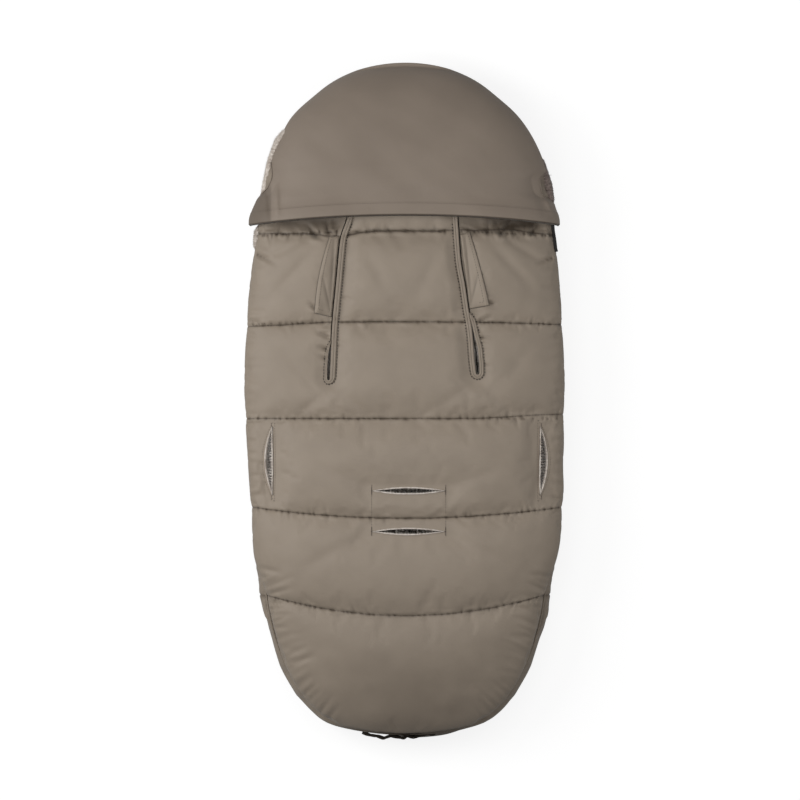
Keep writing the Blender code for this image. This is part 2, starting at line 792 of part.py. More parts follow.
SLITS = {"left": SLIT_LEFT, "right": SLIT_RIGHT}
for side, ends in SLITS.items():
    outline = slit_outline(ends, 1)
    for target in (back_shell, back_lining):
        name = f"cut_slit_{side}_{target.name}"
        combine(target, cutter(name, outline, CUT_LOW_Z, CUT_HIGH_Z), "DIFFERENCE")

SLOTS = {}
for place, y in zip(("upper", "lower"), CROTCH_Y):
    rises = (CROTCH_WIDTH / 2, CROTCH_WIDTH / 2)
    SLOTS[f"crotch_{place}"] = ((CROTCH_X, y), CROTCH_HALF, rises, False, 0.0)
SLOTS["waist_left"] = ((WAIST_LEFT_IN - HALF_WIDTH, WAIST_Y), WAIST_HALF,
                       (WAIST_INNER_BULGE, WAIST_BULGE), True, -WAIST_TILT)
SLOTS["waist_right"] = ((HALF_WIDTH - WAIST_RIGHT_IN, WAIST_Y), WAIST_HALF,
                        (WAIST_BULGE, WAIST_INNER_BULGE), True, WAIST_TILT)
for key, (centre, half, rises, upright, lean) in SLOTS.items():
    outline = lens_outline(centre, half, rises, upright)
    for target in (back_shell, back_lining):
        name = f"cut_{key}_{target.name}"
        combine(target, cutter(name, outline, CUT_LOW_Z, CUT_HIGH_Z, lean), "DIFFERENCE")

slit_bindings = []
for side, ends in SLITS.items():
    inset = BINDING_DIA / 2 + CLEAR
    steps = round((Vector(ends[0]) - Vector(ends[1])).length / BINDING_STEP)
    points = [Vector((p.x, p.y, pad_height(p.x, p.y) + BINDING_RAISE))
              for p in slit_outline(ends, steps, inset)[1:-1]]
    path = with_sides(points, outward=False)
    slit_bindings.append(sweep(f"slit_binding_{side}", path, disc(BINDING_DIA, 6), TRIM))

facings = []
for key, (centre, half, rises, upright, lean) in SLOTS.items():
    inset = FACING_DIA / 2 * (1 + abs(math.tan(lean))) + 2 * CLEAR
    outline = lens_outline(centre, half, rises, upright, inset)
    points = []
    for p in outline:
        level = pad_height(p.x, p.y) - FACING_DIA / 2
        shift = (level - CUT_MIDDLE_Z) * math.tan(lean)
        points.append(Vector((p.x + shift, p.y, level)))
    path = with_sides(points, closed=True)
    kind, place = key.split("_")
    facings.append(sweep(f"{kind}_facing_{place}", path, disc(FACING_DIA, 6), FLEECE,
                         closed=True))

piping_path = [(point + side * PIPING_OUT + Vector((0, 0, BACK_RIM_Z - PIPING_DROP)), side)
               for point, side in with_sides(both_sides(rim))]
edge_piping = sweep("edge_piping", piping_path, disc(PIPING_DIA, 6), TRIM)

# The hood round the head.
hood_line = head_path(RIM_THICK)
hood_outer = [(HOOD_TOP_OUT, HOOD_TOP_Z), (HOOD_BULGE_OUT, HOOD_BULGE_Z),
              (HOOD_BULGE_OUT - HOOD_RIM_IN, (HOOD_LOW_Z + 2 * HOOD_TURN_Z) / 3),
              (HOOD_TOP_OUT - HOOD_RIM_IN + CLEAR, HOOD_LOW_Z)]
hood_inner = [(out - HOOD_THICK, level) for out, level in
              ((HOOD_TOP_OUT, HOOD_TOP_Z), (HOOD_BULGE_OUT - HOOD_RIM_DIA / 5, HOOD_BULGE_Z),
               (HOOD_BULGE_OUT - HOOD_RIM_IN, HOOD_TURN_Z),
               (HOOD_TOP_OUT - HOOD_RIM_IN + CLEAR, HOOD_LOW_Z))]
hood_wall = sweep("hood_wall", hood_line, hood_outer + hood_inner[::-1], CLOTH)
lining_outer = [(out - SHEET_GAP, level) for out, level in hood_inner]
lining_inner = [(out - LINING_THICK, level) for out, level in lining_outer]
hood_lining = sweep("hood_lining", hood_line, lining_outer + lining_inner[::-1], FLEECE)
hood_rim_line = [(point - side * HOOD_RIM_IN + Vector((0, 0, HOOD_RIM_Z)), side)
                 for point, side in hood_line]
hood_rim = sweep("hood_rim", hood_rim_line, disc(HOOD_RIM_DIA, 8), TRIM)

# The pocket over the head end.
pocket_rows = [(y, POCKET_BOW, True, 0.0) for y in (HALF_LENGTH, POCKET_WALL_Y)]
for share in POCKET_STEP_SHARES:
    y = POCKET_WALL_Y - SHEET_THICK + (POCKET_HEM[0] + HEM_FOLD - POCKET_WALL_Y
                                       + SHEET_THICK) * share
    bow = POCKET_BOW + (POCKET_HEM[1] - POCKET_BOW) * share
    pocket_rows.append((y, bow, False, 0.0))
for y in (POCKET_HEM[0] + HEM_FOLD - HEM_EXTRA, POCKET_HEM[0]):
    pocket_rows.append((y, POCKET_HEM[1], False, HEM_EXTRA))
pocket_sheet = loft("pocket_sheet", [pocket_ring(*row) for row in pocket_rows], CLOTH,
                    split=2 * len(ACROSS_SHARES) + 3)

# The flaps that come out of the slits.
flaps = []
for side, corners in (("left", FLAP_LEFT), ("right", FLAP_RIGHT)):
    top_in, top_out, low_out, low_in = [Vector(c) for c in corners]
    rings = []
    for i in range(FLAP_STEPS + 1):
        near = top_in.lerp(low_in, i / FLAP_STEPS)
        far = top_out.lerp(low_out, i / FLAP_STEPS)
        under = []
        for j in range(FLAP_ACROSS + 1):
            place = near.lerp(far, j / FLAP_ACROSS)
            level = pad_height(place.x, place.y) + FLAP_LIFT
            under.append(Vector((place.x, place.y, level)))
        over = [p + Vector((0, 0, FLAP_THICK)) for p in reversed(under)]
        rings.append(under + over)
    flaps.append(loft(f"slit_flap_{side}", rings, CLOTH, split=FLAP_ACROSS + 1))

# The zips.
zip_backs, sliders, pulls, stops, zip_fronts = [], [], [], [], []
for side, way in (("left", -1), ("right", 1)):
    line_x = way * RIM_HALF
    bead_low = ZIP_GAP_Z + BEAD_GAP / 2
    half_t, half_b = TAPE_THICK / 2, BEAD_WIDTH / 2
    lower = [(-half_t, FRONT_RIM_Z + CLEAR), (half_t, FRONT_RIM_Z + CLEAR)]
    for out in (half_t, half_b):
        lower.append((out, ZIP_GAP_Z - BEAD_GAP / 2 - BEAD_HEIGHT))
    lower += [(half_b, ZIP_GAP_Z - BEAD_GAP / 2), (-half_b, ZIP_GAP_Z - BEAD_GAP / 2)]
    for out in (half_b, half_t):
        lower.append((-out, ZIP_GAP_Z - BEAD_GAP / 2 - BEAD_HEIGHT))
    upper = [(x, BACK_RIM_Z - CLEAR if i < 2 else 2 * ZIP_GAP_Z - z)
             for i, (x, z) in enumerate(lower)]
    stop_end = rim_length - GUSSET_HALF - CLEAR
    line = [Vector((way * p.x, p.y, 0)) for p in rim]
    along = with_sides(stretch(line, 0, stop_end - STOP_LENGTH - CLEAR))
    zip_fronts.append(sweep(f"zip_tape_front_{side}", along, lower, TAPE, smooth=False))
    zip_backs.append(sweep(f"zip_tape_back_{side}", along, upper, TAPE, smooth=False))
    stop_low = ZIP_GAP_Z - BEAD_GAP / 2 - BEAD_HEIGHT
    stop_section = box_section(BEAD_WIDTH, stop_low, stop_low + BEAD_HEIGHT)
    above = [line[0] + Vector((0, CLEAR + rise, 0)) for rise in (STOP_LENGTH, 0)]
    below = stretch(line, stop_end - STOP_LENGTH, stop_end)
    for end, place in (("top", above), ("bottom", below)):
        stops.append(sweep(f"zip_stop_{end}_{side}", with_sides(place), stop_section, METAL,
                           smooth=False))

    centre = Vector((line_x, SLIDER_TOP_Y, ZIP_GAP_Z))
    plate_in = SLIDER_ROOM / 2
    plate_out = plate_in + SLIDER_PLATE
    slider = add_block(f"zip_slider_{side}",
                       (line_x - plate_out, centre.y - SLIDER_LENGTH / 2,
                        ZIP_GAP_Z - SLIDER_HEIGHT / 2),
                       (line_x + plate_out, centre.y + SLIDER_LENGTH / 2,
                        ZIP_GAP_Z + SLIDER_HEIGHT / 2), METAL, centre)
    for level, name in ((1, "upper"), (-1, "lower")):
        near, far = sorted((ZIP_GAP_Z + level * SLIDER_WEB / 2,
                            ZIP_GAP_Z + level * SLIDER_HEIGHT))
        groove = add_block(f"cut_groove_{name}_{side}",
                           (line_x - plate_in, centre.y - SLIDER_LENGTH, near),
                           (line_x + plate_in, centre.y + SLIDER_LENGTH, far))
        combine(slider, groove, "DIFFERENCE")
    face_x = line_x + way * plate_out
    arch_out = face_x + way * (ARCH_HOLE + ARCH_BAR)
    low_x, high_x = sorted((face_x - way * SLIDER_PLATE / 2, arch_out))
    arch = add_block(f"join_arch_{side}",
                     (low_x, centre.y - ARCH_LENGTH / 2, ZIP_GAP_Z - ARCH_WIDTH / 2),
                     (high_x, centre.y + ARCH_LENGTH / 2, ZIP_GAP_Z + ARCH_WIDTH / 2))
    combine(slider, arch, "UNION")
    low_x, high_x = sorted((face_x, face_x + way * ARCH_HOLE))
    hole = add_block(f"cut_arch_{side}",
                     (low_x, centre.y - ARCH_LENGTH / 2 + ARCH_BAR, ZIP_GAP_Z - ARCH_WIDTH),
                     (high_x, centre.y + ARCH_LENGTH / 2 - ARCH_BAR, ZIP_GAP_Z + ARCH_WIDTH))
    combine(slider, hole, "DIFFERENCE")
    sliders.append(slider)

    axis = Vector((face_x + way * ARCH_HOLE / 2, centre.y - ARCH_HOLE / 4, ZIP_GAP_Z))
    pull = add_block(f"zip_pull_{side}",
                     (axis.x - PULL_THICK / 2, axis.y - PULL_LENGTH, ZIP_GAP_Z - PULL_WIDTH / 2),
                     (axis.x + PULL_THICK / 2, axis.y + PULL_HEAD / 2,
                      ZIP_GAP_Z + PULL_WIDTH / 2), METAL, axis)
    window = add_block(f"cut_window_{side}",
                       (axis.x - PULL_THICK, axis.y - PULL_HEAD / 2 - PULL_WINDOW_LENGTH,
                        ZIP_GAP_Z - PULL_WINDOW_WIDTH / 2),
                       (axis.x + PULL_THICK, axis.y - PULL_HEAD / 2,
                        ZIP_GAP_Z + PULL_WINDOW_WIDTH / 2))
    combine(pull, window, "DIFFERENCE")
    edge = pull.modifiers.new("edges", "BEVEL")
    edge.width = PULL_BEVEL
    edge.segments = 1
    edge.limit_method = "ANGLE"
    pulls.append(pull)

# What moves, on its axis.
fold = pivot("foot_fold_axis", (0, FOLD_Y, FOLD_Z))
hang([back_shell, back_lining, edge_piping, hood_wall, hood_lining, hood_rim]
     + slit_bindings + facings + zip_backs, fold)
pocket_axis = pivot("pocket_axis", (0, HALF_LENGTH, POCKET_LOW_Z))
hang([pocket_sheet], pocket_axis)
for flap, corners in zip(flaps, (FLAP_LEFT, FLAP_RIGHT)):
    middle = (Vector(corners[0]) + Vector(corners[3])) / 2
    level = pad_height(middle.x, middle.y) + FLAP_LIFT
    hang([flap], pivot(f"{flap.name}_axis", (middle.x, middle.y, level)))

bpy.context.view_layer.update()
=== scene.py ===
"""Stroller footmuff in a plain studio, lying on its front and seen from above."""
import json
import math

import bpy
import bmesh
import numpy as np
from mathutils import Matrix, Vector
from mathutils.bvhtree import BVHTree

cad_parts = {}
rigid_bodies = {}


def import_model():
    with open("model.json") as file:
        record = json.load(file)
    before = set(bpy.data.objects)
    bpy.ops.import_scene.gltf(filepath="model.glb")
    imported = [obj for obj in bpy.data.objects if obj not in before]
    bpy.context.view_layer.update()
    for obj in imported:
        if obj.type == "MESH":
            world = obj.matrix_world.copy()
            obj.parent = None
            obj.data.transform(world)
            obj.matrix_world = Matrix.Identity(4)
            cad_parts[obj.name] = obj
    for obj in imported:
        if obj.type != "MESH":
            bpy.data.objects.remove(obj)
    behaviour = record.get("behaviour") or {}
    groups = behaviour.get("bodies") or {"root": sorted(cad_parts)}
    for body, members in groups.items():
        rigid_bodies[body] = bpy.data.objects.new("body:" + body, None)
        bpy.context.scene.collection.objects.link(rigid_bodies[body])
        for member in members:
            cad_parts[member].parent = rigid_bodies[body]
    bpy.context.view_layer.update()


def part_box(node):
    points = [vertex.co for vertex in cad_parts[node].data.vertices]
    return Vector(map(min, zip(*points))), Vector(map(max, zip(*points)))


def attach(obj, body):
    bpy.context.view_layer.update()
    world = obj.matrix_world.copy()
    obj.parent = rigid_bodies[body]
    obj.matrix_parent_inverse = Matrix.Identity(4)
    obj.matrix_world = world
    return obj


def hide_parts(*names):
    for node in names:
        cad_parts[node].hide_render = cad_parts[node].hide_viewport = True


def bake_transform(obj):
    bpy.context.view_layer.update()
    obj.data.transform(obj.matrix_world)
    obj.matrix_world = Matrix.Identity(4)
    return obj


for thing in list(bpy.data.objects):
    bpy.data.objects.remove(thing)
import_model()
bpy.ops.object.select_all(action="DESELECT")


# Quilted front cover: two layers of taupe polyester microfibre over fibre wadding,
# sewn through along the same seams as the back.  It lies on the floor, which
# presses its channels flat, and its rim carries one half of each zip.
def linear(code):
    """Linear colour of an sRGB hex code."""
    parts = [int(code[i:i + 2], 16) / 255 for i in (1, 3, 5)]
    return (*[p / 12.92 if p <= 0.04045 else ((p + 0.055) / 1.055) ** 2.4 for p in parts], 1)


def add_node(tree, kind, settings, links=()):
    """Add one shader node with its settings and its links.

    A link is a socket and its source: an output, or a node for its first output.
    """
    made = tree.nodes.new("ShaderNode" + kind)
    for key, value in settings.items():
        if isinstance(key, str) and hasattr(made, key):
            setattr(made, key, value)
        else:
            made.inputs[key].default_value = value
    for key, source in links:
        output = source.outputs[0] if isinstance(source, bpy.types.Node) else source
        tree.links.new(output, made.inputs[key])
    return made


def start_material(name, colour, roughness, specular, sheen=0.0, metallic=0.0):
    """A Principled material with its tree, its shader and its coordinates."""
    made = bpy.data.materials.new(name)
    made.use_nodes = True
    tree = made.node_tree
    shader = tree.nodes["Principled BSDF"]
    for socket, value in (("Base Color", linear(colour)), ("Roughness", roughness),
                          ("Specular IOR Level", specular), ("Sheen Weight", sheen),
                          ("Sheen Roughness", 0.45), ("Metallic", metallic)):
        shader.inputs[socket].default_value = value
    return made, tree, shader, add_node(tree, "TexCoord", {})


def woven(name, colour, dark, thread, wrinkle, roughness, sheen):
    """Plain woven cloth: thread crossings, soft handling wrinkles and painted shade from a point attribute.
    """
    made, tree, shader, place = start_material(name, colour, roughness, 0.35, sheen)
    turns = add_node(tree, "VectorMath", {"operation": "SCALE", "Scale": math.pi / thread},
                     [(0, place.outputs["UV"])])
    split = add_node(tree, "SeparateXYZ", {}, [(0, turns)])
    warp = add_node(tree, "Math", {"operation": "SINE"}, [(0, split)])
    weft = add_node(tree, "Math", {"operation": "SINE"}, [(0, split.outputs[1])])
    cross = add_node(tree, "Math", {"operation": "MULTIPLY"}, [(0, warp), (1, weft)])
    weave = add_node(tree, "Bump", {"Strength": 0.25, "Distance": thread / 4}, [("Height", cross)])
    soft = add_node(tree, "TexNoise", {"Scale": 1 / wrinkle, "Detail": 3.0, "Roughness": 0.5},
                    [("Vector", place.outputs["Object"])])
    folds = add_node(tree, "Bump", {"Strength": 0.30, "Distance": wrinkle / 14},
                     [("Height", soft), ("Normal", weave)])
    tone = add_node(tree, "TexNoise", {"Scale": 0.6 / wrinkle, "Detail": 2.0},
                    [("Vector", place.outputs["Object"])])
    fade = add_node(tree, "MapRange", {"From Min": 0.3, "From Max": 0.7, "To Max": 0.10}, [("Value", tone)])
    base = add_node(tree, "Mix", {"data_type": "RGBA", 6: linear(colour), 7: linear(dark)}, [(0, fade)])
    # Painted shade: the colour is mixed toward the dark one where the point attribute says.
    painted_shade = add_node(tree, "Attribute", {"attribute_name": "painted_shade"})
    painted_shade_mix = add_node(tree, "Mix", {"data_type": "RGBA", 7: linear(dark)},
                    [(0, painted_shade.outputs["Fac"]), (6, base.outputs[2])])
    tree.links.new(painted_shade_mix.outputs[2], shader.inputs["Base Color"])
    tree.links.new(folds.outputs[0], shader.inputs["Normal"])
    return made


# Polyester microfibre: a dull satin with a soft sheen at grazing angles.  Its
# 0.25 mm threads are drawn at 0.8 mm, the finest that a render can show.
CLOTH = woven("taupe_microfibre", "#8c8072", "#453b30", 0.0008, 0.022, 0.55, 0.12)


def strip_between(first, second):
    """Triangles between two chains of point numbers."""
    faces = []
    i, j = 0, 0
    while i < len(first) - 1 or j < len(second) - 1:
        if (i + 1) * (len(second) - 1) <= (j + 1) * (len(first) - 1):
            faces.append((first[i], first[i + 1], second[j]))
            i += 1
        else:
            faces.append((first[i], second[j + 1], second[j]))
            j += 1
    return faces


def link_mesh(name, points, faces, material):
    """Make a smooth piece of one material from its points and faces."""
    mesh = bpy.data.meshes.new(name)
    mesh.from_pydata(points.reshape(-1, 3).tolist(), [], faces)
    mesh.shade_smooth()
    mesh.materials.append(material)
    piece = bpy.data.objects.new(name, mesh)
    bpy.context.collection.objects.link(piece)
    return piece


def skin(name, grid, material, ring=False, loop=False, split=0, painted_shade=None):
    """Make a mesh from rows of points, closed across (ring) or along (loop).

    An open tube of rings is capped, between its outer and inner chains if it has both.
    """
    grid = np.asarray(grid, float)
    rows, count = grid.shape[:2]
    index = np.arange(rows * count).reshape(rows, count)
    down = np.vstack([index, index[:1]]) if loop else index
    wide = np.hstack([down, down[:, :1]]) if ring else down
    quads = np.stack([wide[:-1, :-1], wide[:-1, 1:], wide[1:, 1:], wide[1:, :-1]], -1)
    faces = quads.reshape(-1, 4).tolist()
    if ring and not loop:
        for row in (index[0].tolist(), index[-1].tolist()):
            faces += strip_between(row[:split], row[split:][::-1]) if split else [tuple(row)]
    piece = link_mesh(name, grid, faces, material)
    mesh = piece.data
    along = np.zeros((rows, count))
    along[1:] = np.cumsum(np.linalg.norm(np.diff(grid, axis=0), axis=2), axis=0)
    across = np.zeros((rows, count))
    across[:, 1:] = np.cumsum(np.linalg.norm(np.diff(grid, axis=1), axis=2), axis=1)
    across -= across[:, count // 2][:, None]
    flat = np.stack([across, np.broadcast_to(along.mean(1)[:, None], across.shape)], -1)
    corner = np.empty(len(mesh.loops), np.int32)
    mesh.loops.foreach_get("vertex_index", corner)
    layer = mesh.uv_layers.new(name="cloth")
    layer.data.foreach_set("uv", flat.reshape(-1, 2)[corner].astype(np.float32).ravel())
    # Painted shade for each point, which the cloth materials mix into their colour.
    mark = mesh.attributes.new("painted_shade", "FLOAT", "POINT")
    if painted_shade is not None:
        mark.data.foreach_set("value", np.asarray(painted_shade, np.float32).ravel())
    work = bmesh.new()
    work.from_mesh(mesh)
    bmesh.ops.recalc_face_normals(work, faces=work.faces)
    work.to_mesh(mesh)
    work.free()
    return piece


def hand_over(piece, body, slot, *nodes):
    """Let a finished piece ride on its body and stand for its nodes; its slot is not used."""
    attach(piece, body)
    if nodes:
        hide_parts(*nodes)
    return piece


def ease(value):
    """Go from 0 to 1 with level ends."""
    value = np.clip(value, 0, 1)
    return value * value * (3 - 2 * value)


def bump(value, centre, width, power=2):
    """Rise from 0 to 1 at the centre and fall again, over about its width on each side."""
    return np.exp(-((value - centre) / width) ** power)


pad_low, pad_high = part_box("back_shell")
cover_low, cover_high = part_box("front_shell")
HALF_WIDTH = pad_high.x + 0.0004
FRONT_HALF = HALF_WIDTH - 0.0145
RIM_IN, RIM_THICK, RIM_Z = 0.0225, 0.008, pad_low.z
COVER_RIM_Z, NECK_Y = cover_high.z, cover_high.y
SIDE_RISE, DOME_RISE, PUFF = 0.026, 0.042, 0.011
TOE_START_Y, TOE_HOLD_Y = -0.200, -0.260
TOE_TIP_Y = pad_low.y - 0.0105
RIM_TIP_Y = pad_low.y + 0.0050
HEAD_START_Y, HEAD_TIP_Y = 0.270, pad_high.y + 0.0026
LEAST_SHARE = 0.15


def side_half(y):
    """Half width of the sack's slowly bulging side."""
    return HALF_WIDTH - 0.0108 * ((y - 0.005) / 0.200) ** 2


def toe_share(y, tip):
    """How far the toe's curve has closed the width in."""
    run = np.clip((TOE_START_Y - y) / (TOE_START_Y - tip), 0, 1)
    return (1 - run ** 2.3) ** (1 / 2.9)


def sack_half(y):
    """Half width of the whole sack, with the cloth's belly where the toe starts."""
    belly = 0.0040 * bump(y, -0.245, 0.055)
    return side_half(np.maximum(y, TOE_HOLD_Y)) * toe_share(y, TOE_TIP_Y) + belly


def pad_half(y):
    """Half width of the back pad: inside the piping at the toe, round at the head."""
    low = sack_half(y) - 0.009 * ease((y + 0.220) / -0.080)
    run = np.clip((y - HEAD_START_Y) / (HEAD_TIP_Y - HEAD_START_Y), 0, 1)
    return np.where(y < HEAD_START_Y, low, side_half(HEAD_START_Y) * np.sqrt(1 - run * run))


def rim_half(y):
    """Half width of the line on which the zips stand."""
    rim = HALF_WIDTH - RIM_IN
    side = np.minimum(side_half(np.maximum(y, TOE_HOLD_Y)) / side_half(TOE_START_Y), 1)
    wide = np.where(y > 0, np.minimum(rim, sack_half(y) - RIM_THICK), rim * side)
    low = wide * toe_share(y, RIM_TIP_Y)
    return np.where(y > HEAD_START_Y, pad_half(y) - RIM_THICK / 2 - 0.0003, low)


def dome_share(y):
    """Height of the sack along its length."""
    run = np.where(y < TOE_START_Y, (TOE_START_Y - y) / (TOE_START_Y - TOE_TIP_Y),
                   np.maximum(y - 0.200, 0) / (HEAD_TIP_Y - 0.200))
    power = np.where(y < TOE_START_Y, 1.9, 2.3)
    return np.maximum(np.sqrt(np.maximum(1 - np.clip(run, 0, 1) ** power, 0)), LEAST_SHARE)


DOME_POWER = 2.4


def across_share(u):
    """Section of the dome, 1 on the centreline and 0 at the side."""
    return np.maximum(1 - np.abs(u) ** DOME_POWER, 0) ** (1 / 2.2)


def puff_of(share):
    """Crown of one sewn channel, 0 on both its seams."""
    return (1 - np.abs(2 * share - 1) ** 2.6) ** 0.6


def quilt_rows(seams, cell):
    """Rows of a quilted piece, closer by its seams: centre y, bow and puff."""
    rows = []
    for (y0, bow0), (y1, bow1) in zip(seams, seams[1:]):
        count = round(abs(y0 - y1) / cell)
        for k in range(count):
            share = 0.6 * k / count + 0.2 * (1 - math.cos(math.pi * k / count))
            rows.append((y0 + (y1 - y0) * share, bow0 + (bow1 - bow0) * share, puff_of(share)))
    rows.append((*seams[-1], 0.0))
    return np.array(rows).T


def bowed(x, z, ys, bows, wide):
    """Points of rows whose ends run up or down by their bow."""
    x, z = np.broadcast_arrays(x, z)
    y = ys[:, None] + bows[:, None] * (x / wide[:, None]) ** 2
    return np.stack([x, y, z], -1)


BLOW_FRAMES = 16


def inflate(grid, held, cap, slack=0.02):
    """Blow a grid of cloth up between its held points, and return how each point moved.

    The simulation runs on every second row and column and on every held row.
    """
    rows = sorted(set(range(0, len(grid), 2)) | {len(grid) - 1}
                  | set(np.flatnonzero(held.min(1) == 1).tolist()))
    columns = sorted(set(range(0, grid.shape[1], 2)) | {grid.shape[1] - 1})
    coarse = grid[np.ix_(rows, columns)]
    piece = skin("blown_cloth", coarse, None)
    group = piece.vertex_groups.new(name="held")
    group.add(np.flatnonzero(held[np.ix_(rows, columns)].ravel() == 1).tolist(), 1.0, "REPLACE")
    cloth = piece.modifiers.new("Cloth", "CLOTH")
    for setting, value in (("quality", 4), ("mass", 0.3), ("tension_stiffness", 15),
                           ("compression_stiffness", 15), ("shear_stiffness", 5),
                           ("bending_stiffness", 0.6), ("use_pressure", True),
                           ("uniform_pressure_force", 4.0), ("shrink_min", -slack),
                           ("vertex_group_mass", "held")):
        setattr(cloth.settings, setting, value)
    cloth.settings.effector_weights.gravity = 0
    cloth.point_cache.frame_start = 1
    cloth.point_cache.frame_end = BLOW_FRAMES
    for step in range(1, BLOW_FRAMES + 1):
        bpy.context.scene.frame_set(step)
    shape = piece.evaluated_get(bpy.context.evaluated_depsgraph_get()).to_mesh()
    after = np.empty(coarse.size, np.float32)
    shape.vertices.foreach_get("co", after)
    moved = after.reshape(coarse.shape) - coarse
    moved *= np.minimum(1, cap / np.maximum(np.linalg.norm(moved, axis=2, keepdims=True), 1e-9))
    bpy.data.objects.remove(piece)
    bpy.context.scene.frame_set(1)
    high, wide = np.arange(len(grid)), np.arange(grid.shape[1])
    tall = np.stack([[np.interp(high, rows, moved[:, j, k]) for j in range(len(columns))]
                     for k in range(3)], -1).transpose(1, 0, 2)
    return np.stack([[np.interp(wide, columns, tall[i, :, k]) for i in high]
                     for k in range(3)], -1)


def swell(x, y, cell, draw):
    """Smooth random height between -0.5 and 0.5, in cells of one size."""
    table = draw.random((64, 64)) - 0.5
    i, j = np.floor(x / cell).astype(int), np.floor(y / cell).astype(int)
    f, g = ease(x / cell - i), ease(y / cell - j)
    near = table[i % 64, j % 64] * (1 - f) + table[(i + 1) % 64, j % 64] * f
    far = table[i % 64, (j + 1) % 64] * (1 - f) + table[(i + 1) % 64, (j + 1) % 64] * f
    return near * (1 - g) + far * g


def line_share(px, py, start, end):
    """Distance of points in plan from a straight line, and their share of its length."""
    bx, by = end[0] - start[0], end[1] - start[1]
    share = np.clip(((px - start[0]) * bx + (py - start[1]) * by) / (bx * bx + by * by), 0, 1)
    return np.hypot(px - start[0] - share * bx, py - start[1] - share * by), share


def pucker(grid, start, end, depth, width, way=-1, marks=None):
    """Press one short tuck that fades from its start to its end, with a low ridge beside it.

    Its deepest part gets painted shade in the marks, where they are given.
    """
    far, share = line_share(grid[..., 0], grid[..., 1], start, end)
    if marks is not None:
        marks += 0.75 * bump(far, 0, 0.0015) * (1 - share) ** 3
    valley = bump(far, 0, width) * (1 - share) ** 0.7
    ridge = bump(far, 2.2 * width, 1.3 * width) * (1 - share) ** 1.2
    grid[..., 2] += way * depth * (valley - 0.6 * ridge)


def press_folds(grid, folds):
    """Press soft folds into a grid, each given as its two ends, its depth and its width."""
    for start, end, depth, width in folds:
        far, share = line_share(grid[..., 0], grid[..., 1], start, end)
        grid[..., 2] -= depth * bump(far, 0, width) * np.sin(math.pi * (0.1 + 0.8 * share))


def gather_seam(grid, y_mid, bow, half, spacing, draw, size=1.0, way=-1, marks=None):
    """Press the irregular tucks of one sewn seam, above and below it by turns."""
    x = -half
    while x < half:
        pick = draw.random(6)
        x += spacing * (0.35 + 1.3 * pick[0])
        run = (1 if pick[1] > 0.5 else -1) * (0.004 + 0.018 * pick[2] ** 3) * size
        start = (x, y_mid + bow * (x / half) ** 2)
        end = (x + (pick[4] - 0.5) * 0.9 * run, start[1] + run)
        pucker(grid, start, end, (0.0006 + 0.0012 * pick[3]) * size, 0.0013 + 0.0010 * pick[5],
               way, marks)


COVER_SEAMS = [(NECK_Y, 0.0), (0.1165, -0.004), (-0.026, 0.0), (-0.1726, 0.016),
               (-0.3157, 0.029), (cover_low.y - 0.0045, 0.013)]
COVER_BULGE_Z, COVER_LIFT = 0.026, 0.006
ys, bows, puff = quilt_rows(COVER_SEAMS, 0.0042)
wide = np.minimum(sack_half(ys + bows), FRONT_HALF) - 0.0015 * (1 - puff)
rim = np.minimum(rim_half(ys + bows), wide - RIM_THICK)
cover_lift = 0.018 * (1 - dome_share(ys)) * ease((TOE_START_Y - ys) / -TOE_TIP_Y)
low = np.maximum(COVER_LIFT * (1 - puff) - 0.0005, 0) + cover_lift
flat = np.linspace(-0.9, 0.9, 81)
turn = np.linspace(0, math.pi / 2, 9)[1:]
mid_z = COVER_BULGE_Z + cover_lift / 2
x_low = wide[:, None] * (0.9 + 0.1 * np.sin(turn))
z_low = low[:, None] + (mid_z - low)[:, None] * (1 - np.cos(turn))
edge = (rim + RIM_THICK / 2)[:, None]
x_high = edge + (wide[:, None] - edge) * np.cos(turn)
z_high = mid_z[:, None] + (COVER_RIM_Z - mid_z)[:, None] * np.sin(turn)
x = np.hstack([-x_high[:, ::-1], -x_low[:, ::-1], wide[:, None] * flat, x_low, x_high])
z = np.hstack([z_high[:, ::-1], z_low[:, ::-1], np.repeat(low[:, None], 81, 1), z_low, z_high])
outer = bowed(x, z, ys, bows, wide)
held = np.zeros(outer.shape[:2])
held[puff < 0.01] = 1
held[:, [0, 1, -2, -1]] = 1
outer += inflate(outer, held, 0.004)
outer_x, outer_y, outer_z = np.moveaxis(outer, -1, 0)
# The photographed cover stands out a little further at the toe's shoulders.
swollen = np.where(outer_x < 0,
                   -0.0042 * bump(outer_y, -0.308, 0.036) - 0.0030 * bump(outer_y, -0.476, 0.016),
                   0.0064 * bump(outer_y, -0.322, 0.028) + 0.0036 * bump(outer_y, -0.468, 0.022))
outer_x += swollen * ease(np.abs(outer_x) / wide[:, None])
# The strip at the toe drags the cloth out with it.
outer_y -= 0.0062 * bump(outer_x, 0.034, 0.046, 4) * ease((-0.450 - outer_y) / 0.020) \
    * np.sin(np.pi * outer_z / COVER_RIM_Z)
draw = np.random.default_rng(3)
for y_mid, bow in COVER_SEAMS[1:-1]:
    half = float(np.minimum(sack_half(y_mid + bow), FRONT_HALF))
    gather_seam(outer, y_mid, bow, half, 0.012, draw, way=1)
np.maximum(outer_z, 0, out=outer_z)


def cover_floor(ys, puff, u):
    """Inner surface of the front cover, a bowl that rises to the rim."""
    base = 0.014 + 0.018 * (1 - dome_share(ys)[:, None])
    base = base + 0.014 * puff[:, None] * (1 - u ** 4)
    return base + (COVER_RIM_Z - base) * u ** 8


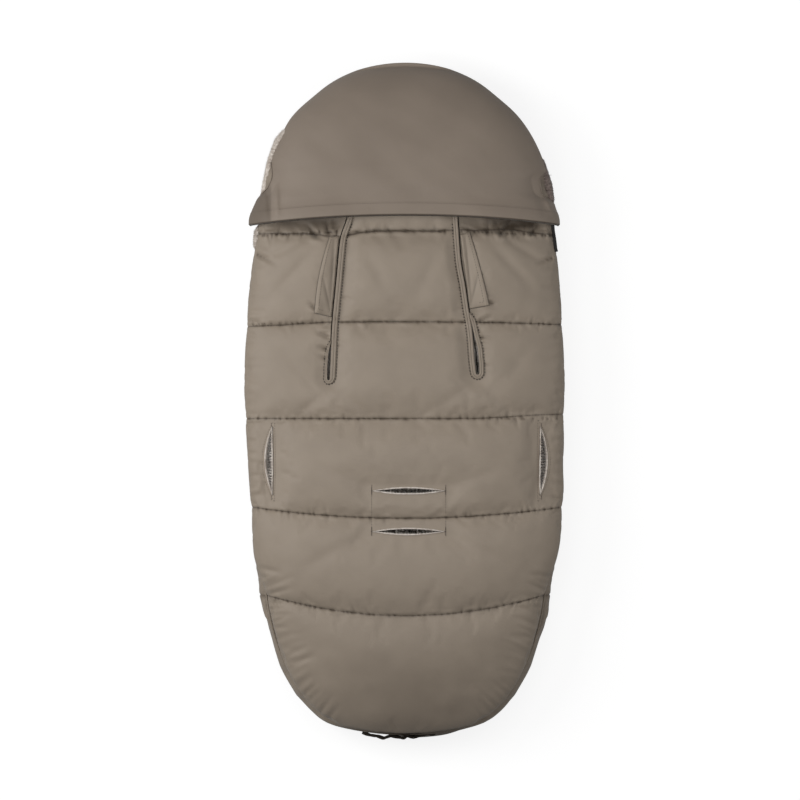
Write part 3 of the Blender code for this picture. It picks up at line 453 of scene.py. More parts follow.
inner_u = np.array([1, 0.96, 0.88, 0.75, 0.52, 0.27, 0])
inner_u = np.concatenate([inner_u, -inner_u[-2::-1]])
inner_z = cover_floor(ys, puff, inner_u)
inner_z[-1] = COVER_RIM_Z - 0.0002
inner = bowed((rim - RIM_THICK / 2)[:, None] * inner_u, inner_z, ys, bows, wide)
seam_near = bump(puff, 0, 0.22)
# Painted shade along the seams' creases.
painted_shade = np.concatenate([np.repeat(0.6 * seam_near[:, None], outer.shape[1], 1),
                         np.zeros(inner.shape[:2])], 1)
cover = skin("quilted_front", np.concatenate([outer, inner], 1), CLOTH, ring=True,
             split=outer.shape[1], painted_shade=painted_shade)
hand_over(cover, "front_cover", "shell_fabric", "front_shell")


# Fleece of the front cover: brushed knitted polyester of a warm grey, sewn in at the
# rim.  The child's legs lie on it.
def fleece(name, colour, dark):
    """Brushed pile: clumped fibres with dark gaps and a soft edge glow."""
    made, tree, shader, place = start_material(name, colour, 0.95, 0.15, 0.5)
    clump = add_node(tree, "TexNoise", {"Scale": 260.0, "Detail": 4.0, "Roughness": 0.7},
                     [("Vector", place.outputs["Object"])])
    patch = add_node(tree, "TexNoise", {"Scale": 45.0, "Detail": 2.0}, [("Vector", place.outputs["Object"])])
    both = add_node(tree, "Math", {"operation": "MULTIPLY_ADD", 1: 0.6}, [(0, patch), (2, clump)])
    fade = add_node(tree, "MapRange", {"From Min": 0.62, "From Max": 1.0}, [("Value", both)])
    tone = add_node(tree, "Mix", {"data_type": "RGBA", 6: linear(dark), 7: linear(colour)}, [(0, fade)])
    pile = add_node(tree, "Bump", {"Strength": 0.8, "Distance": 0.0012}, [("Height", both)])
    tree.links.new(tone.outputs[2], shader.inputs["Base Color"])
    tree.links.new(pile.outputs[0], shader.inputs["Normal"])
    return made


# Warm grey fleece, mid-toned where it lies flat, with dark gaps in its clumped pile.
FLEECE = fleece("grey_fleece", "#a79d94", "#6f6259")
GAP, LINING_THICK = 0.0007, 0.003


def two_faced(name, face, back, material, painted_shade=None):
    """A sheet closed all round from the grids of its two faces."""
    return skin(name, np.concatenate([face, back[:, ::-1]], 1), material, ring=True,
                split=face.shape[1], painted_shade=painted_shade)


def lining(name, height, rim, ys, bows, wide):
    """A fleece sheet that follows a padded piece from the inside."""
    u = np.sin(np.linspace(math.pi / 2, -math.pi / 2, 61))
    layers = [bowed((rim - RIM_THICK / 2 - gap)[:, None] * u, height(u, gap), ys, bows, wide)
              for gap in (GAP, GAP + LINING_THICK)]
    pile = layers[1][1:-1, 1:-1]
    pile[..., 2] += 0.0005 * swell(pile[..., 0], pile[..., 1], 0.004, np.random.default_rng(5))
    return two_faced(name, *layers, FLEECE)


open_part = slice(0, -3)
cover_fleece = lining(
    "fleece_front",
    lambda u, gap: np.minimum(cover_floor(ys[open_part], puff[open_part], u) + gap, COVER_RIM_Z),
    *(line[open_part] for line in (rim, ys, bows, wide)))
hand_over(cover_fleece, "front_cover", "fleece", "front_lining")


# Binding of the cover's top edge at the neck: a woven taupe tape folded over the
# raw edges of cloth and fleece and topstitched.
def sides_of(points, loop=False):
    """Level sideways direction at each point of a path."""
    points = np.asarray(points, float)
    if loop:
        step = np.roll(points, -1, 0) - np.roll(points, 1, 0)
    else:
        step = np.gradient(points, axis=0)
    side = np.stack([step[:, 1], -step[:, 0], np.zeros(len(step))], 1)
    return side / np.linalg.norm(side, axis=1, keepdims=True)


def swept(points, section, sides=None, widths=1.0, heights=1.0, loop=False):
    """Rings of a section of (side, up) pairs along a path, each ring with its own size."""
    points = np.asarray(points, float)
    sides = sides_of(points, loop) if sides is None else sides
    out = np.broadcast_to(widths, len(points))[:, None] * section[:, 0]
    up = np.broadcast_to(heights, len(points))[:, None] * section[:, 1]
    rings = points[:, None] + sides[:, None] * out[..., None]
    rings[..., 2] += up
    return rings


def oval(width, height, count=12):
    """Section of a rounded tape or tube."""
    turn = np.arange(count) * 2 * math.pi / count
    return np.stack([width / 2 * np.cos(turn), height / 2 * np.sin(turn)], 1)


def resample(points, spacing):
    """Even points along a path, with its ends."""
    points = np.asarray(points, float)
    run = np.concatenate([[0], np.cumsum(np.linalg.norm(np.diff(points, axis=0), axis=1))])
    even = np.linspace(0, run[-1], max(round(run[-1] / spacing), 1) + 1)
    return np.stack([np.interp(even, run, points[:, k]) for k in range(3)], 1)


def thread_material(name, colour):
    """Twisted sewing thread."""
    made, tree, shader, place = start_material(name, colour, 0.6, 0.3, 0.2)
    twist = add_node(tree, "TexWave", {"Scale": 900.0, "bands_direction": "DIAGONAL"},
                     [("Vector", place.outputs["Object"])])
    strand = add_node(tree, "Bump", {"Strength": 0.5, "Distance": 0.0002}, [("Height", twist.outputs[1])])
    tree.links.new(strand.outputs[0], shader.inputs["Normal"])
    return made


# Dark brown polyester thread, a shade below the cloth's own shadows.
THREAD = thread_material("brown_thread", "#4a4037")


def stitches(name, path, body, length=0.0026, gap=0.0016, thick=0.0007, material=THREAD):
    """A line of sewn stitches: short threads whose ends dip into the cloth."""
    marks = resample(path, length + gap)
    step = np.diff(marks, axis=0)
    way = step / np.linalg.norm(step, axis=1, keepdims=True)
    middle = (marks[1:] + marks[:-1]) / 2
    side = np.stack([way[:, 1], -way[:, 0], np.zeros(len(way))], 1)
    up = np.cross(side, way)
    turn = np.arange(6) * math.pi / 3
    rings = []
    for share, size, sink in ((-0.5, 0.4, 0.7), (-0.3, 1, 0), (0.3, 1, 0), (0.5, 0.4, 0.7)):
        centre = middle + way * length * share - up * thick * sink
        ring = centre[:, None] + thick / 2 * size * (side[:, None] * np.cos(turn)[:, None]
                                                     + up[:, None] * np.sin(turn)[:, None])
        rings.append(ring)
    points = np.stack(rings, 1)
    index = np.arange(points[..., 0].size).reshape(points.shape[:3])
    after = np.roll(index, -1, 2)
    quads = np.stack([index[:, :-1], after[:, :-1], after[:, 1:], index[:, 1:]], -1).reshape(-1, 4)
    faces = quads.tolist() + index[:, 0].tolist() + index[:, -1].tolist()
    return hand_over(link_mesh(name, points, faces, material), body, "binding")


# Woven binding tape, the cloth's colour but smoother and a little lighter.
BINDING = woven("taupe_binding", "#877b6d", "#4a4036", 0.0007, 0.015, 0.5, 0.15)
neck_low, neck_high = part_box("neck_binding")
neck_x = np.linspace(neck_high.x, neck_low.x, 120)
neck_u = neck_x / (HALF_WIDTH - RIM_IN - RIM_THICK / 2)
neck_z = (cover_floor(np.array([NECK_Y]), np.array([0.0]), neck_u)[0] + COVER_LIFT) / 2
neck_y = np.full_like(neck_x, (neck_low.y + neck_high.y) / 2)
neck_line = np.stack([neck_x, neck_y, neck_z + 0.0006 * np.sin(neck_x / 0.006)], 1)
neck_side = np.tile([0, 1.0, 0], (len(neck_line), 1))
neck_tape = skin("neck_tape", swept(neck_line, oval(0.0046, 0.0072, 14), neck_side), BINDING,
                 ring=True)
hand_over(neck_tape, "front_cover", "binding", "neck_binding")
stitches("neck_stitches", neck_line + [0, 0.0018, 0.0024], "front_cover")

# Toe gusset: a strip of the same cloth between cover and back, round the toe's
# middle where no zip runs.
GUSSET_HALF = 0.062


def rim_path():
    """The zips' line in plan from the neck down the right side to the toe's middle."""
    turn = np.linspace(0, math.pi / 2, 240)[1:-1]
    y = TOE_START_Y - (TOE_START_Y - RIM_TIP_Y) * np.sin(turn) ** (2 / 2.3)
    x = np.concatenate([[HALF_WIDTH - RIM_IN] * 2, rim_half(y), [0]])
    return np.stack([x, np.concatenate([[0.200, TOE_START_Y], y, [RIM_TIP_Y]]), 0 * x], 1)


def mirrored(points):
    """A half line that ends on the centreline, followed by its mirror image."""
    return np.concatenate([points, (points * [-1, 1, 1])[-2::-1]])


def standing_band(name, plan, away, bulge, half_thick, height, material):
    """A strip that stands on a line in plan and bulges away from it at its levels."""
    faces = []
    for out in (half_thick, -half_thick):
        layer = plan[:, None] + away[:, None] * (bulge + out)[..., None]
        layer[..., 2] = height
        faces.append(layer)
    return two_faced(name, *faces, material)


zip_line = resample(rim_path(), 0.002)
zip_run = np.arange(len(zip_line)) * np.linalg.norm(zip_line[1] - zip_line[0])
middle = mirrored(zip_line[zip_run > zip_run[-1] - GUSSET_HALF])
gusset_low, gusset_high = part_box("toe_gusset")
rise = np.linspace(0, 1, 13)
height = gusset_low.z + (gusset_high.z - gusset_low.z) * rise
run = np.arange(len(middle)) * 0.002
belly = 0.0022 * np.sin(math.pi * rise) + 0.0005 * np.sin(run[:, None] / 0.0035) \
    * np.sin(math.pi * rise)
gusset = standing_band("gusset_strip", middle, -sides_of(middle), belly, 0.0009, height, CLOTH)
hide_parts("toe_gusset")
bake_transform(gusset)

# Gathered dark strip at the toe: an elastic tape caught in the cover's seam on the
# right and free on the left, seen on edge from above.  Its ribs run along it.
# Its near-black colour is partly the elastic's own and partly painted shade from lying under the toe.
elastic, tree, shader, place = start_material("dark_elastic", "#3b342d", 0.8, 0.2, 0.1)
ribs = add_node(tree, "TexWave", {"Scale": 300.0, "bands_direction": "Z"},
                [("Vector", place.outputs["Object"])])
relief = add_node(tree, "Bump", {"Strength": 0.6, "Distance": 0.0004}, [("Height", ribs.outputs[1])])
tree.links.new(relief.outputs[0], shader.inputs["Normal"])
strip_low, strip_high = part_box("toe_elastic")
STRIP_PLACES = ((-0.0642, -0.4915), (-0.0580, -0.4938), (-0.0518, -0.4957), (-0.0410, -0.4972),
                (-0.0325, -0.5003), (-0.0229, -0.4968), (-0.0125, -0.4980), (-0.0022, -0.5003),
                (0.0030, -0.4962), (0.0125, -0.4992), (0.0229, -0.4956), (0.0320, -0.4930),
                (0.0406, -0.4952), (0.0450, -0.4915))


def smooth(values, times):
    """Even out a line or the rows of a grid in place, with both ends kept."""
    for _ in range(times):
        values[1:-1] = (values[:-2] + 2 * values[1:-1] + values[2:]) / 4


strip_line = resample([(x, y, 0) for x, y in STRIP_PLACES], 0.0008)
smooth(strip_line, 5)
rise = np.linspace(0, 1, 9)
ruffle = 0.0010 * np.sin(np.arange(len(strip_line)) / 4.6)[:, None] * (rise - 0.5)
strip = standing_band("toe_strip", strip_line, sides_of(strip_line), ruffle, 0.0021,
                      strip_low.z + (strip_high.z - strip_low.z) * rise, elastic)
hand_over(strip, "front_cover", "elastic", "toe_elastic")


# Quilted back: two layers of taupe polyester microfibre over fibre wadding, sewn
# through along five seams.  Extra cloth puckers at each seam, and the pad is drawn
# down along the harness slits and slots.
BACK_SEAMS = [(pad_high.y, -0.012), (0.250, -0.007), (0.1165, -0.004), (-0.026, 0.0),
              (-0.1726, 0.016), (-0.3157, 0.029), (pad_low.y - 0.004, 0.012)]
SLITS = {"left": ((-0.0872, 0.290), (-0.1110, 0.0350)),
         "right": ((0.0737, 0.290), (0.1045, 0.0400))}
CROTCH_X, CROTCH_HALF, CROTCH_WIDTH = 0.0045, 0.0560, 0.0112
CROTCH_YS = {"upper": -0.1320, "lower": -0.1918}
WAIST_Y, WAIST_HALF, WAIST_BULGE = -0.0880, 0.0520, 0.0134
WAIST_XS = {"left": -0.1936, "right": 0.1962}
LINES = list(SLITS.values())
LINES += [((CROTCH_X - CROTCH_HALF, y), (CROTCH_X + CROTCH_HALF, y)) for y in CROTCH_YS.values()]
LINES += [((x, WAIST_Y - WAIST_HALF), (x, WAIST_Y + WAIST_HALF)) for x in WAIST_XS.values()]

ys, bows, puff = quilt_rows(BACK_SEAMS, 0.0026)
wide = pad_half(ys + bows) - 0.0025 * (1 - puff)
rim = np.minimum(rim_half(ys + bows), wide - RIM_THICK / 2 - 0.0003)
dome = dome_share(ys)


def dome_stops(count):
    """Places across the dome from -1 to 1, closer together at its steep sides."""
    lean = np.linspace(-math.pi / 2, math.pi / 2, count)
    return np.sign(lean) * np.abs(np.sin(lean)) ** (2 / DOME_POWER)


u = dome_stops(201)
turn = np.linspace(0, math.pi / 2, 10)[1:]
edge = (rim + RIM_THICK / 2)[:, None]
x_side = edge + (wide[:, None] - edge) * np.cos(turn)
z_side = SIDE_RISE * dome[:, None] * (1 - np.sin(turn))
z_top = dome[:, None] * (SIDE_RISE + DOME_RISE * across_share(u)) \
    + PUFF * (puff * dome)[:, None] * (1 - u ** 4)
x = np.hstack([-x_side[:, ::-1], wide[:, None] * u, x_side])
z = np.hstack([z_side[:, ::-1], z_top, z_side]) + RIM_Z
outer = bowed(x, z, ys, bows, wide)
held = np.zeros(outer.shape[:2])
held[puff < 0.01] = 1
held[:, :6] = 1
held[:, -6:] = 1
slack = (puff * dome)[:, None]
outer_x, outer_y, outer_z = np.moveaxis(outer, -1, 0)
for (start, end), reach, depth in zip(LINES, (0.020, 0.020, 0.018, 0.018, 0.020, 0.020),
                                      (0.0065, 0.0065, 0.004, 0.004, 0.004, 0.004)):
    far, _ = line_share(outer_x, outer_y, start, end)
    outer_z -= depth * (1 - ease((far - 0.007) / reach)) * slack
    held[far < 0.011] = 1
outer += inflate(outer, held, 0.007, 0.005)
# Each side bulges on its own: the left above the waist, the right below it.
swollen = np.where(outer_x < 0, -0.0031 * bump(outer_y, 0.080, 0.125, 4),
                   0.0038 * bump(outer_y, -0.165, 0.055, 4))
outer_x += swollen * ease((np.abs(outer_x) / wide[:, None] - 0.5) / 0.5)


def seam_drop(x, y):
    """How far the gathers pull the cloth up or down round the first three seams."""
    first = -0.0062 * bump(x, -0.100, 0.034) + 0.0030 * ease((-0.150 - x) / 0.060) \
        + 0.0034 * bump(x, 0.150, 0.028) + 0.0024 * ease((x - 0.040) / 0.04)
    second = -0.0028 * ease((-0.110 - x) / 0.100)
    third = 0.0060 * ease((x - 0.090) / 0.130)
    return sum(pull * bump(y, at, 0.022)
               for pull, at in ((first, 0.248), (second, 0.1165), (third, -0.026)))


outer_y += seam_drop(outer_x, outer_y)
draw = np.random.default_rng(7)
# Painted shade: the toe is darker along its middle, where it slopes away from the light.
marks = 0.27 * bump(outer_x, 0.010, 0.110) * ease((-0.290 - outer_y) / 0.170)
loose = ease(slack / 0.5) * ease((RIM_Z + SIDE_RISE * dome[:, None] - outer_z + 0.05) / 0.02)
outer_z += loose * (0.0030 * swell(outer_x, outer_y, 0.060, draw)
                    + 0.0016 * swell(outer_x + outer_y, outer_x - outer_y, 0.030, draw))
for y_mid, bow in BACK_SEAMS[1:-1]:
    gather_seam(outer, y_mid, bow, float(pad_half(y_mid + bow)), 0.009, draw, marks=marks)
# The first seam, under the hem, is the most gathered one.
gather_seam(outer, *BACK_SEAMS[1], float(pad_half(BACK_SEAMS[1][0])), 0.008, draw, 1.1, marks=marks)
# Soft folds that the photograph shows, each as its two ends, depth and width.
FOLDS = (((-0.215, -0.085), (-0.196, -0.165), 0.0030, 0.006),
         ((0.208, -0.060), (0.190, -0.150), 0.0030, 0.006),
         ((-0.222, -0.245), (-0.185, -0.252), 0.0030, 0.004),
         ((-0.105, 0.020), (-0.160, -0.020), 0.0022, 0.008),
         ((-0.100, 0.018), (-0.060, -0.015), 0.0018, 0.008),
         ((0.110, 0.024), (0.165, -0.018), 0.0024, 0.008),
         ((0.100, 0.022), (0.040, -0.012), 0.0020, 0.009),
         ((-0.060, -0.125), (-0.130, -0.095), 0.0018, 0.009),
         ((0.068, -0.125), (0.140, -0.100), 0.0018, 0.009),
         ((-0.060, -0.198), (-0.150, -0.245), 0.0020, 0.009),
         ((0.066, -0.198), (0.150, -0.240), 0.0020, 0.009),
         ((-0.130, 0.225), (-0.200, 0.150), 0.0030, 0.008),
         ((-0.150, 0.235), (-0.215, 0.205), 0.0026, 0.006),
         ((0.125, 0.232), (0.185, 0.170), 0.0030, 0.008),
         ((0.150, 0.236), (0.212, 0.200), 0.0026, 0.006),
         ((-0.060, 0.225), (-0.020, 0.150), 0.0018, 0.010),
         ((0.050, 0.222), (0.010, 0.140), 0.0016, 0.010),
         ((-0.185, 0.080), (-0.120, 0.000), 0.0018, 0.010),
         ((0.190, 0.085), (0.130, 0.010), 0.0018, 0.010))
# The pad sinks in under the pocket's hem, beside the strip between the slits.
wide_in = ease((np.abs(outer_x) - 0.078) / 0.030) * ease((0.214 - np.abs(outer_x)) / 0.030)
outer_z -= 0.0150 * wide_in * bump(outer_y, 0.266, 0.018)
# Painted shade: that cloth lies in the hem's shade, more in some folds than in others,
# and is drawn darker there.
shade = wide_in * ease((outer_y - 0.2440) / 0.0200)
shade += 0.5 * ease((outer_x - 0.138 - 0.8 * (outer_y - 0.250)) / 0.006) \
    * ease((0.214 - outer_x) / 0.020) * ease((outer_y - 0.2520) / 0.0060)
shade = shade * (0.55 + 0.9 * swell(outer_x + outer_y, outer_y, 0.022, draw))
marks += np.clip(shade, 0, 0.95)
press_folds(outer, FOLDS)
# Creases square to the edge, where the cloth is gathered into the toe's curve.
for y in np.concatenate([np.linspace(-0.26, -0.47, 24), np.linspace(0.20, -0.16, 22)]):
    for way in (-1, 1):
        pick = draw.random(4)
        half = float(pad_half(y))
        slope = float(pad_half(y + 0.004) - pad_half(y - 0.004)) / 0.008
        size = (0.020 + 0.030 * pick[0]) * (1 if y < -0.24 else 0.6)
        inward = np.array([-1.0, slope + 0.5 * (pick[3] - 0.5)])
        inward *= size / np.linalg.norm(inward)
        start = (way * half * 0.995, y + 0.006 * (pick[1] - 0.5))
        pucker(outer, start, (start[0] + way * inward[0], start[1] + inward[1]),
               0.0008 + 0.0016 * pick[2], 0.0022 + 0.0016 * pick[1])
# The deepest tucks: beside the slits' ends and under the hem, each with painted shade
# along its valley.
TUCKS = (((-0.1150, 0.0960), (-0.1340, 0.1040), 0.0034, 0.0030),
         ((-0.1160, 0.0770), (-0.1330, 0.0800), 0.0030, 0.0026),
         ((-0.1170, 0.0610), (-0.1290, 0.0690), 0.0026, 0.0022),
         ((0.1100, 0.1180), (0.1300, 0.1260), 0.0030, 0.0028),
         ((0.1225, 0.1450), (0.1340, 0.1430), 0.0040, 0.0026),
         ((-0.1335, 0.1370), (-0.1430, 0.1460), 0.0036, 0.0030),
         ((0.1120, 0.0930), (0.1280, 0.0960), 0.0026, 0.0024),
         ((0.1120, 0.0560), (0.1260, 0.0500), 0.0024, 0.0022),
         ((-0.1310, 0.2440), (-0.1500, 0.2640), 0.0040, 0.0036),
         ((-0.1130, 0.2480), (-0.1180, 0.2700), 0.0036, 0.0030),
         ((0.1420, 0.2480), (0.1580, 0.2660), 0.0050, 0.0036),
         ((0.1200, 0.2500), (0.1230, 0.2700), 0.0034, 0.0030),
         ((0.1850, 0.2480), (0.1980, 0.2620), 0.0036, 0.0030),
         ((-0.2180, 0.2160), (-0.1860, 0.1990), 0.0040, 0.0032),
         ((0.2150, 0.2100), (0.1900, 0.2010), 0.0034, 0.0028))
for start, end, depth, width in TUCKS:
    pucker(outer, start, end, depth, width)
    far, share = line_share(outer_x, outer_y, start, end)
    marks += 0.55 * bump(far, 0, 0.6 * width) * (1 - share) ** 1.2
# Tucks where the slits are bound, mostly on their outer side.
for (x0, y0), (x1, y1) in SLITS.values():
    out = 1 if x0 > 0 else -1
    for share in np.arange(0.12, 1.0, 0.040):
        pick = draw.random(4)
        way = out if pick[0] > 0.25 else -out
        place = (x0 + (x1 - x0) * share + way * 0.006, y0 + (y1 - y0) * (share + 0.02 * pick[1]))
        size = 0.008 + 0.016 * pick[2]
        pucker(outer, place, (place[0] + way * size, place[1] + (pick[3] - 0.6) * size),
               0.0008 + 0.0012 * pick[1], 0.0016 + 0.0010 * pick[3])

inner_z = RIM_Z + across_share(inner_u) * ((0.060 - 0.010 * puff) * dome)[:, None]
inner_z[[0, -1]] = RIM_Z + 0.0002
inner = bowed((rim - RIM_THICK / 2)[:, None] * inner_u, inner_z, ys, bows, wide)
# Painted shade along the seams' creases, uneven and stronger toward the head, with the painted marks added.
seam_near = bump(puff, 0, 0.16)[:, None]
uneven = 0.95 + 0.9 * swell(outer_x, outer_y * 0.2, 0.0060, draw)
uneven = uneven * np.where(outer_y > 0.22, 1.25, np.where(outer_y > 0.1, 0.95, 0.80))
painted_shade = np.concatenate([np.clip(0.80 * seam_near * uneven + marks, 0, 1),
                         np.zeros(inner.shape[:2])], 1)
outer_y += 0.0010 * swell(outer_x, outer_y * 0.2, 0.0070, draw) * seam_near
back = skin("quilted_back", np.concatenate([outer, inner], 1), CLOTH, ring=True,
            split=outer.shape[1], painted_shade=painted_shade)
pad_tree = BVHTree.FromObject(back, bpy.context.evaluated_depsgraph_get())


def on_pad(x, y, lift=0.0):
    """Point on the back pad's outer surface above a place in plan."""
    return [x, y, pad_tree.ray_cast(Vector((x, y, 0.3)), Vector((0, 0, -1)))[0].z + lift]


def pad_levels(places):
    """Heights of the back pad at places in plan."""
    return np.array([on_pad(x, y)[2] for x, y in places])


def pad_stitches(name, places, lift, *sizes):
    """Stitches that run over the back pad along places in plan."""
    stitches(name, [on_pad(x, y, lift) for x, y in places], "back_pad", *sizes)


# The slits' edges lie together but for the lower ends.  Each has its inner lip's
# line, from under the hem down, and its gap at some places along it.
SLIT_LIPS = {"left": ((-0.0830, 0.290), (-0.0845, 0.268), (-0.0900, 0.256), (-0.0955, 0.242),
                      (-0.1019, 0.171), (-0.1065, 0.126), (-0.1085, 0.100), (-0.1092, 0.075),
                      (-0.1112, 0.033)),
             "right": ((0.0750, 0.290), (0.0771, 0.260), (0.0788, 0.233), (0.0813, 0.201),
                       (0.0873, 0.172), (0.0923, 0.1345), (0.0966, 0.1125), (0.0991, 0.092),
                       (0.1007, 0.062), (0.1034, 0.042))}
SLIT_GAPS = {"left": ((0.031, 0.0040), (0.048, 0.0048), (0.070, 0.0042), (0.088, 0.0005)),
             "right": ((0.040, 0.0052), (0.056, 0.0070), (0.076, 0.0066), (0.096, 0.0028),
                       (0.120, 0.0005))}


def slit_outline(side, inward, outward, closed, top=0.290):
    """Plan round a slit's gap: down its inner lip, round its end and up its outer edge.

    The line is moved off the gap by its own distance on each side, and towards the
    centre by a third one along the outer side where the gap is closed.
    """
    away = 1 if side == "left" else -1
    lip = resample([(x, y, 0) for x, y in SLIT_LIPS[side]], 0.002)[:, :2]
    smooth(lip, 40)
    gaps = np.array(SLIT_GAPS[side])
    gap = np.interp(lip[:, 1], gaps[:, 0], gaps[:, 1])
    opened = ease((gap - 0.0005) / 0.0025)
    outer_edge = lip[:, 0] - away * (gap + outward * opened - closed * (1 - opened))
    keep = lip[:, 1] < top
    inner_line = np.column_stack([lip[:, 0] + away * inward, lip[:, 1]])[lip[:, 1] < 0.289]
    outer_line = np.column_stack([outer_edge, lip[:, 1]])[keep][::-1]
    turn = np.linspace(0, math.pi, 13)[1:-1, None]
    middle = (inner_line[-1] + outer_line[0]) / 2
    half = (inner_line[-1] - outer_line[0]) / 2
    drop = np.array([0, -1]) * (abs(half[0]) * 0.9 + 0.001)
    end = middle + half * np.cos(turn) + drop * np.sin(turn)
    return np.concatenate([inner_line, end, outer_line])


def lens_outline(centre, half_long, rises, upright, inset=0.0):
    """Plan of a slot: two arcs that meet in points, each with its own rise."""
    points = []
    count = 24
    end = math.sqrt(1 - 2 * inset / sum(rises))
    for rise, way in ((rises[0], 1), (rises[1], -1)):
        for i in range(count):
            share = end * (2 * i / count - 1)
            along, out = way * share * half_long, way * (rise * (1 - share * share) - inset)
            points.append((out, -along) if upright else (along, out))
    return np.array(points) + centre


SLOTS = {f"crotch_{place}": ((CROTCH_X, y), CROTCH_HALF, (CROTCH_WIDTH / 2,) * 2, False, 0.0)
         for place, y in CROTCH_YS.items()}
SLOTS["waist_left"] = ((WAIST_XS["left"], WAIST_Y), WAIST_HALF, (0.001, WAIST_BULGE), True,
                       -math.radians(20))
SLOTS["waist_right"] = ((WAIST_XS["right"], WAIST_Y), WAIST_HALF, (WAIST_BULGE, 0.001), True,
                        math.radians(20))
LEAN_Z = RIM_Z + SIDE_RISE + DOME_RISE / 2
CUT_LEVELS = (0.078, 0.185)


def cut_prism(outline, tilt=0.0):
    """A prism on a plan outline, leaned sideways as it goes down."""
    rings = [np.column_stack([outline[:, 0] + (level - LEAN_Z) * math.tan(tilt), outline[:, 1],
                              np.full(len(outline), level)]) for level in CUT_LEVELS]
    return skin("cut", np.array(rings), None, ring=True)


def joined(name, pieces):
    """Join pieces into one object."""
    bpy.ops.object.select_all(action="DESELECT")
    for piece in pieces:
        piece.select_set(True)
    bpy.context.view_layer.objects.active = pieces[0]
    bpy.ops.object.join()
    pieces[0].name = name
    return pieces[0]


def cut_openings(piece):
    """Cut the slits and slots through one piece."""
    prisms = [cut_prism(slit_outline(side, 0.0050, 0.0012, -0.0013)) for side in SLITS]
    prisms += [cut_prism(lens_outline(*shape[:4]), shape[4]) for shape in SLOTS.values()]
    cutter = joined("cut", prisms)
    cut = piece.modifiers.new("openings", "BOOLEAN")
    cut.object = cutter
    cut.operation = "DIFFERENCE"
    bpy.context.view_layer.objects.active = piece
    bpy.ops.object.modifier_apply(modifier=cut.name)
    bpy.data.objects.remove(cutter)
    piece.data.set_sharp_from_angle(angle=math.radians(55))


cut_openings(back)
hand_over(back, "back_pad", "shell_fabric", "back_shell")
for number, (y_mid, bow) in enumerate(BACK_SEAMS[1:-1]):
    half = float(pad_half(y_mid + bow)) - 0.004
    runs = []
    for x in np.linspace(-1, 1, 400) * half:
        y = y_mid + bow * (x / half) ** 2
        blocked = any(line_share(x, y, *ends)[0] < 0.012 for ends in SLITS.values())
        if blocked or (y_mid > 0.2 and abs(x) > 0.2):
            runs.append(None)
        else:
            runs.append(on_pad(x, y + seam_drop(x, y), 0.0001))
    start = 0
    for i in range(len(runs) + 1):
        if i == len(runs) or runs[i] is None:
            if i - start > 4:
                stitches(f"seam_{number}_stitches_{start}", runs[start:i], "back_pad", 0.0030,
                         0.0014, 0.0007)
            start = i + 1

# Fleece of the back: the same grey pile, under the whole pad, with the openings
# cut through it.
open_part = slice(3, -3)
hollow = ((0.060 - 0.010 * puff) * dome)[open_part, None]
back_fleece = lining("fleece_back", lambda u, gap: RIM_Z + across_share(u) * (hollow - gap),
                     *(line[open_part] for line in (rim, ys, bows, wide)))
cut_openings(back_fleece)
hand_over(back_fleece, "back_pad", "fleece", "back_lining")

# Piping: a cord in a narrow bias strip of the binding, sewn in between the pad and
# the zip tapes and round the toe.
piping_low, piping_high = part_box("edge_piping")
whole = mirrored(resample(rim_path(), 0.004))
away = -sides_of(whole)
piping_line = whole + away * 0.0050
piping_line[:, 2] = (piping_low.z + piping_high.z) / 2
bead = 1 + 0.06 * np.sin(np.arange(len(piping_line)) * 2.2)
piping = skin("edge_piping_cord", swept(piping_line, oval(0.0034, 0.0030), away, bead, bead),
              BINDING, ring=True)
hand_over(piping, "back_pad", "binding", "edge_piping")

# Slit bindings: a woven tape folded over both edges of each shoulder slit and round
# its lower end, wider on the strip between the slits, with a row of stitches.
STRIP_WIDTHS = {"left": (0.0078, 0.0036), "right": (0.0072, 0.0064)}
STRIP_TOPS = {"left": 0.090, "right": 0.131}
# The fleece's cut edges, where light comes through the pile and makes it pale.
PALE_FLEECE = fleece("pale_fleece_edge", "#ddd5cc", "#a3978c")


def tufts(name, roots, ways, lengths, thick, material):
    """Short tapered fibres of the back that stand on their roots and lean their own ways."""
    ways = ways / np.linalg.norm(ways, axis=1, keepdims=True)
    aside = np.cross(ways, np.where(np.abs(ways[:, 2:]) > 0.9, [[1.0, 0, 0]], [[0, 0, 1.0]]))
    aside /= np.linalg.norm(aside, axis=1, keepdims=True)
    other = np.cross(ways, aside)
    points = [roots + thick / 2 * (aside * math.cos(a) + other * math.sin(a))
              for a in (0, 2 * math.pi / 3, 4 * math.pi / 3)]
    points = np.stack(points + [roots + ways * lengths[:, None]], 1)
    base = np.arange(len(roots))[:, None] * 4
    faces = np.stack([base + [0, 1, 3], base + [1, 2, 3], base + [2, 0, 3]], 1).reshape(-1, 3)
    hand_over(link_mesh(name, points, faces.tolist(), material), "back_pad", "fleece")


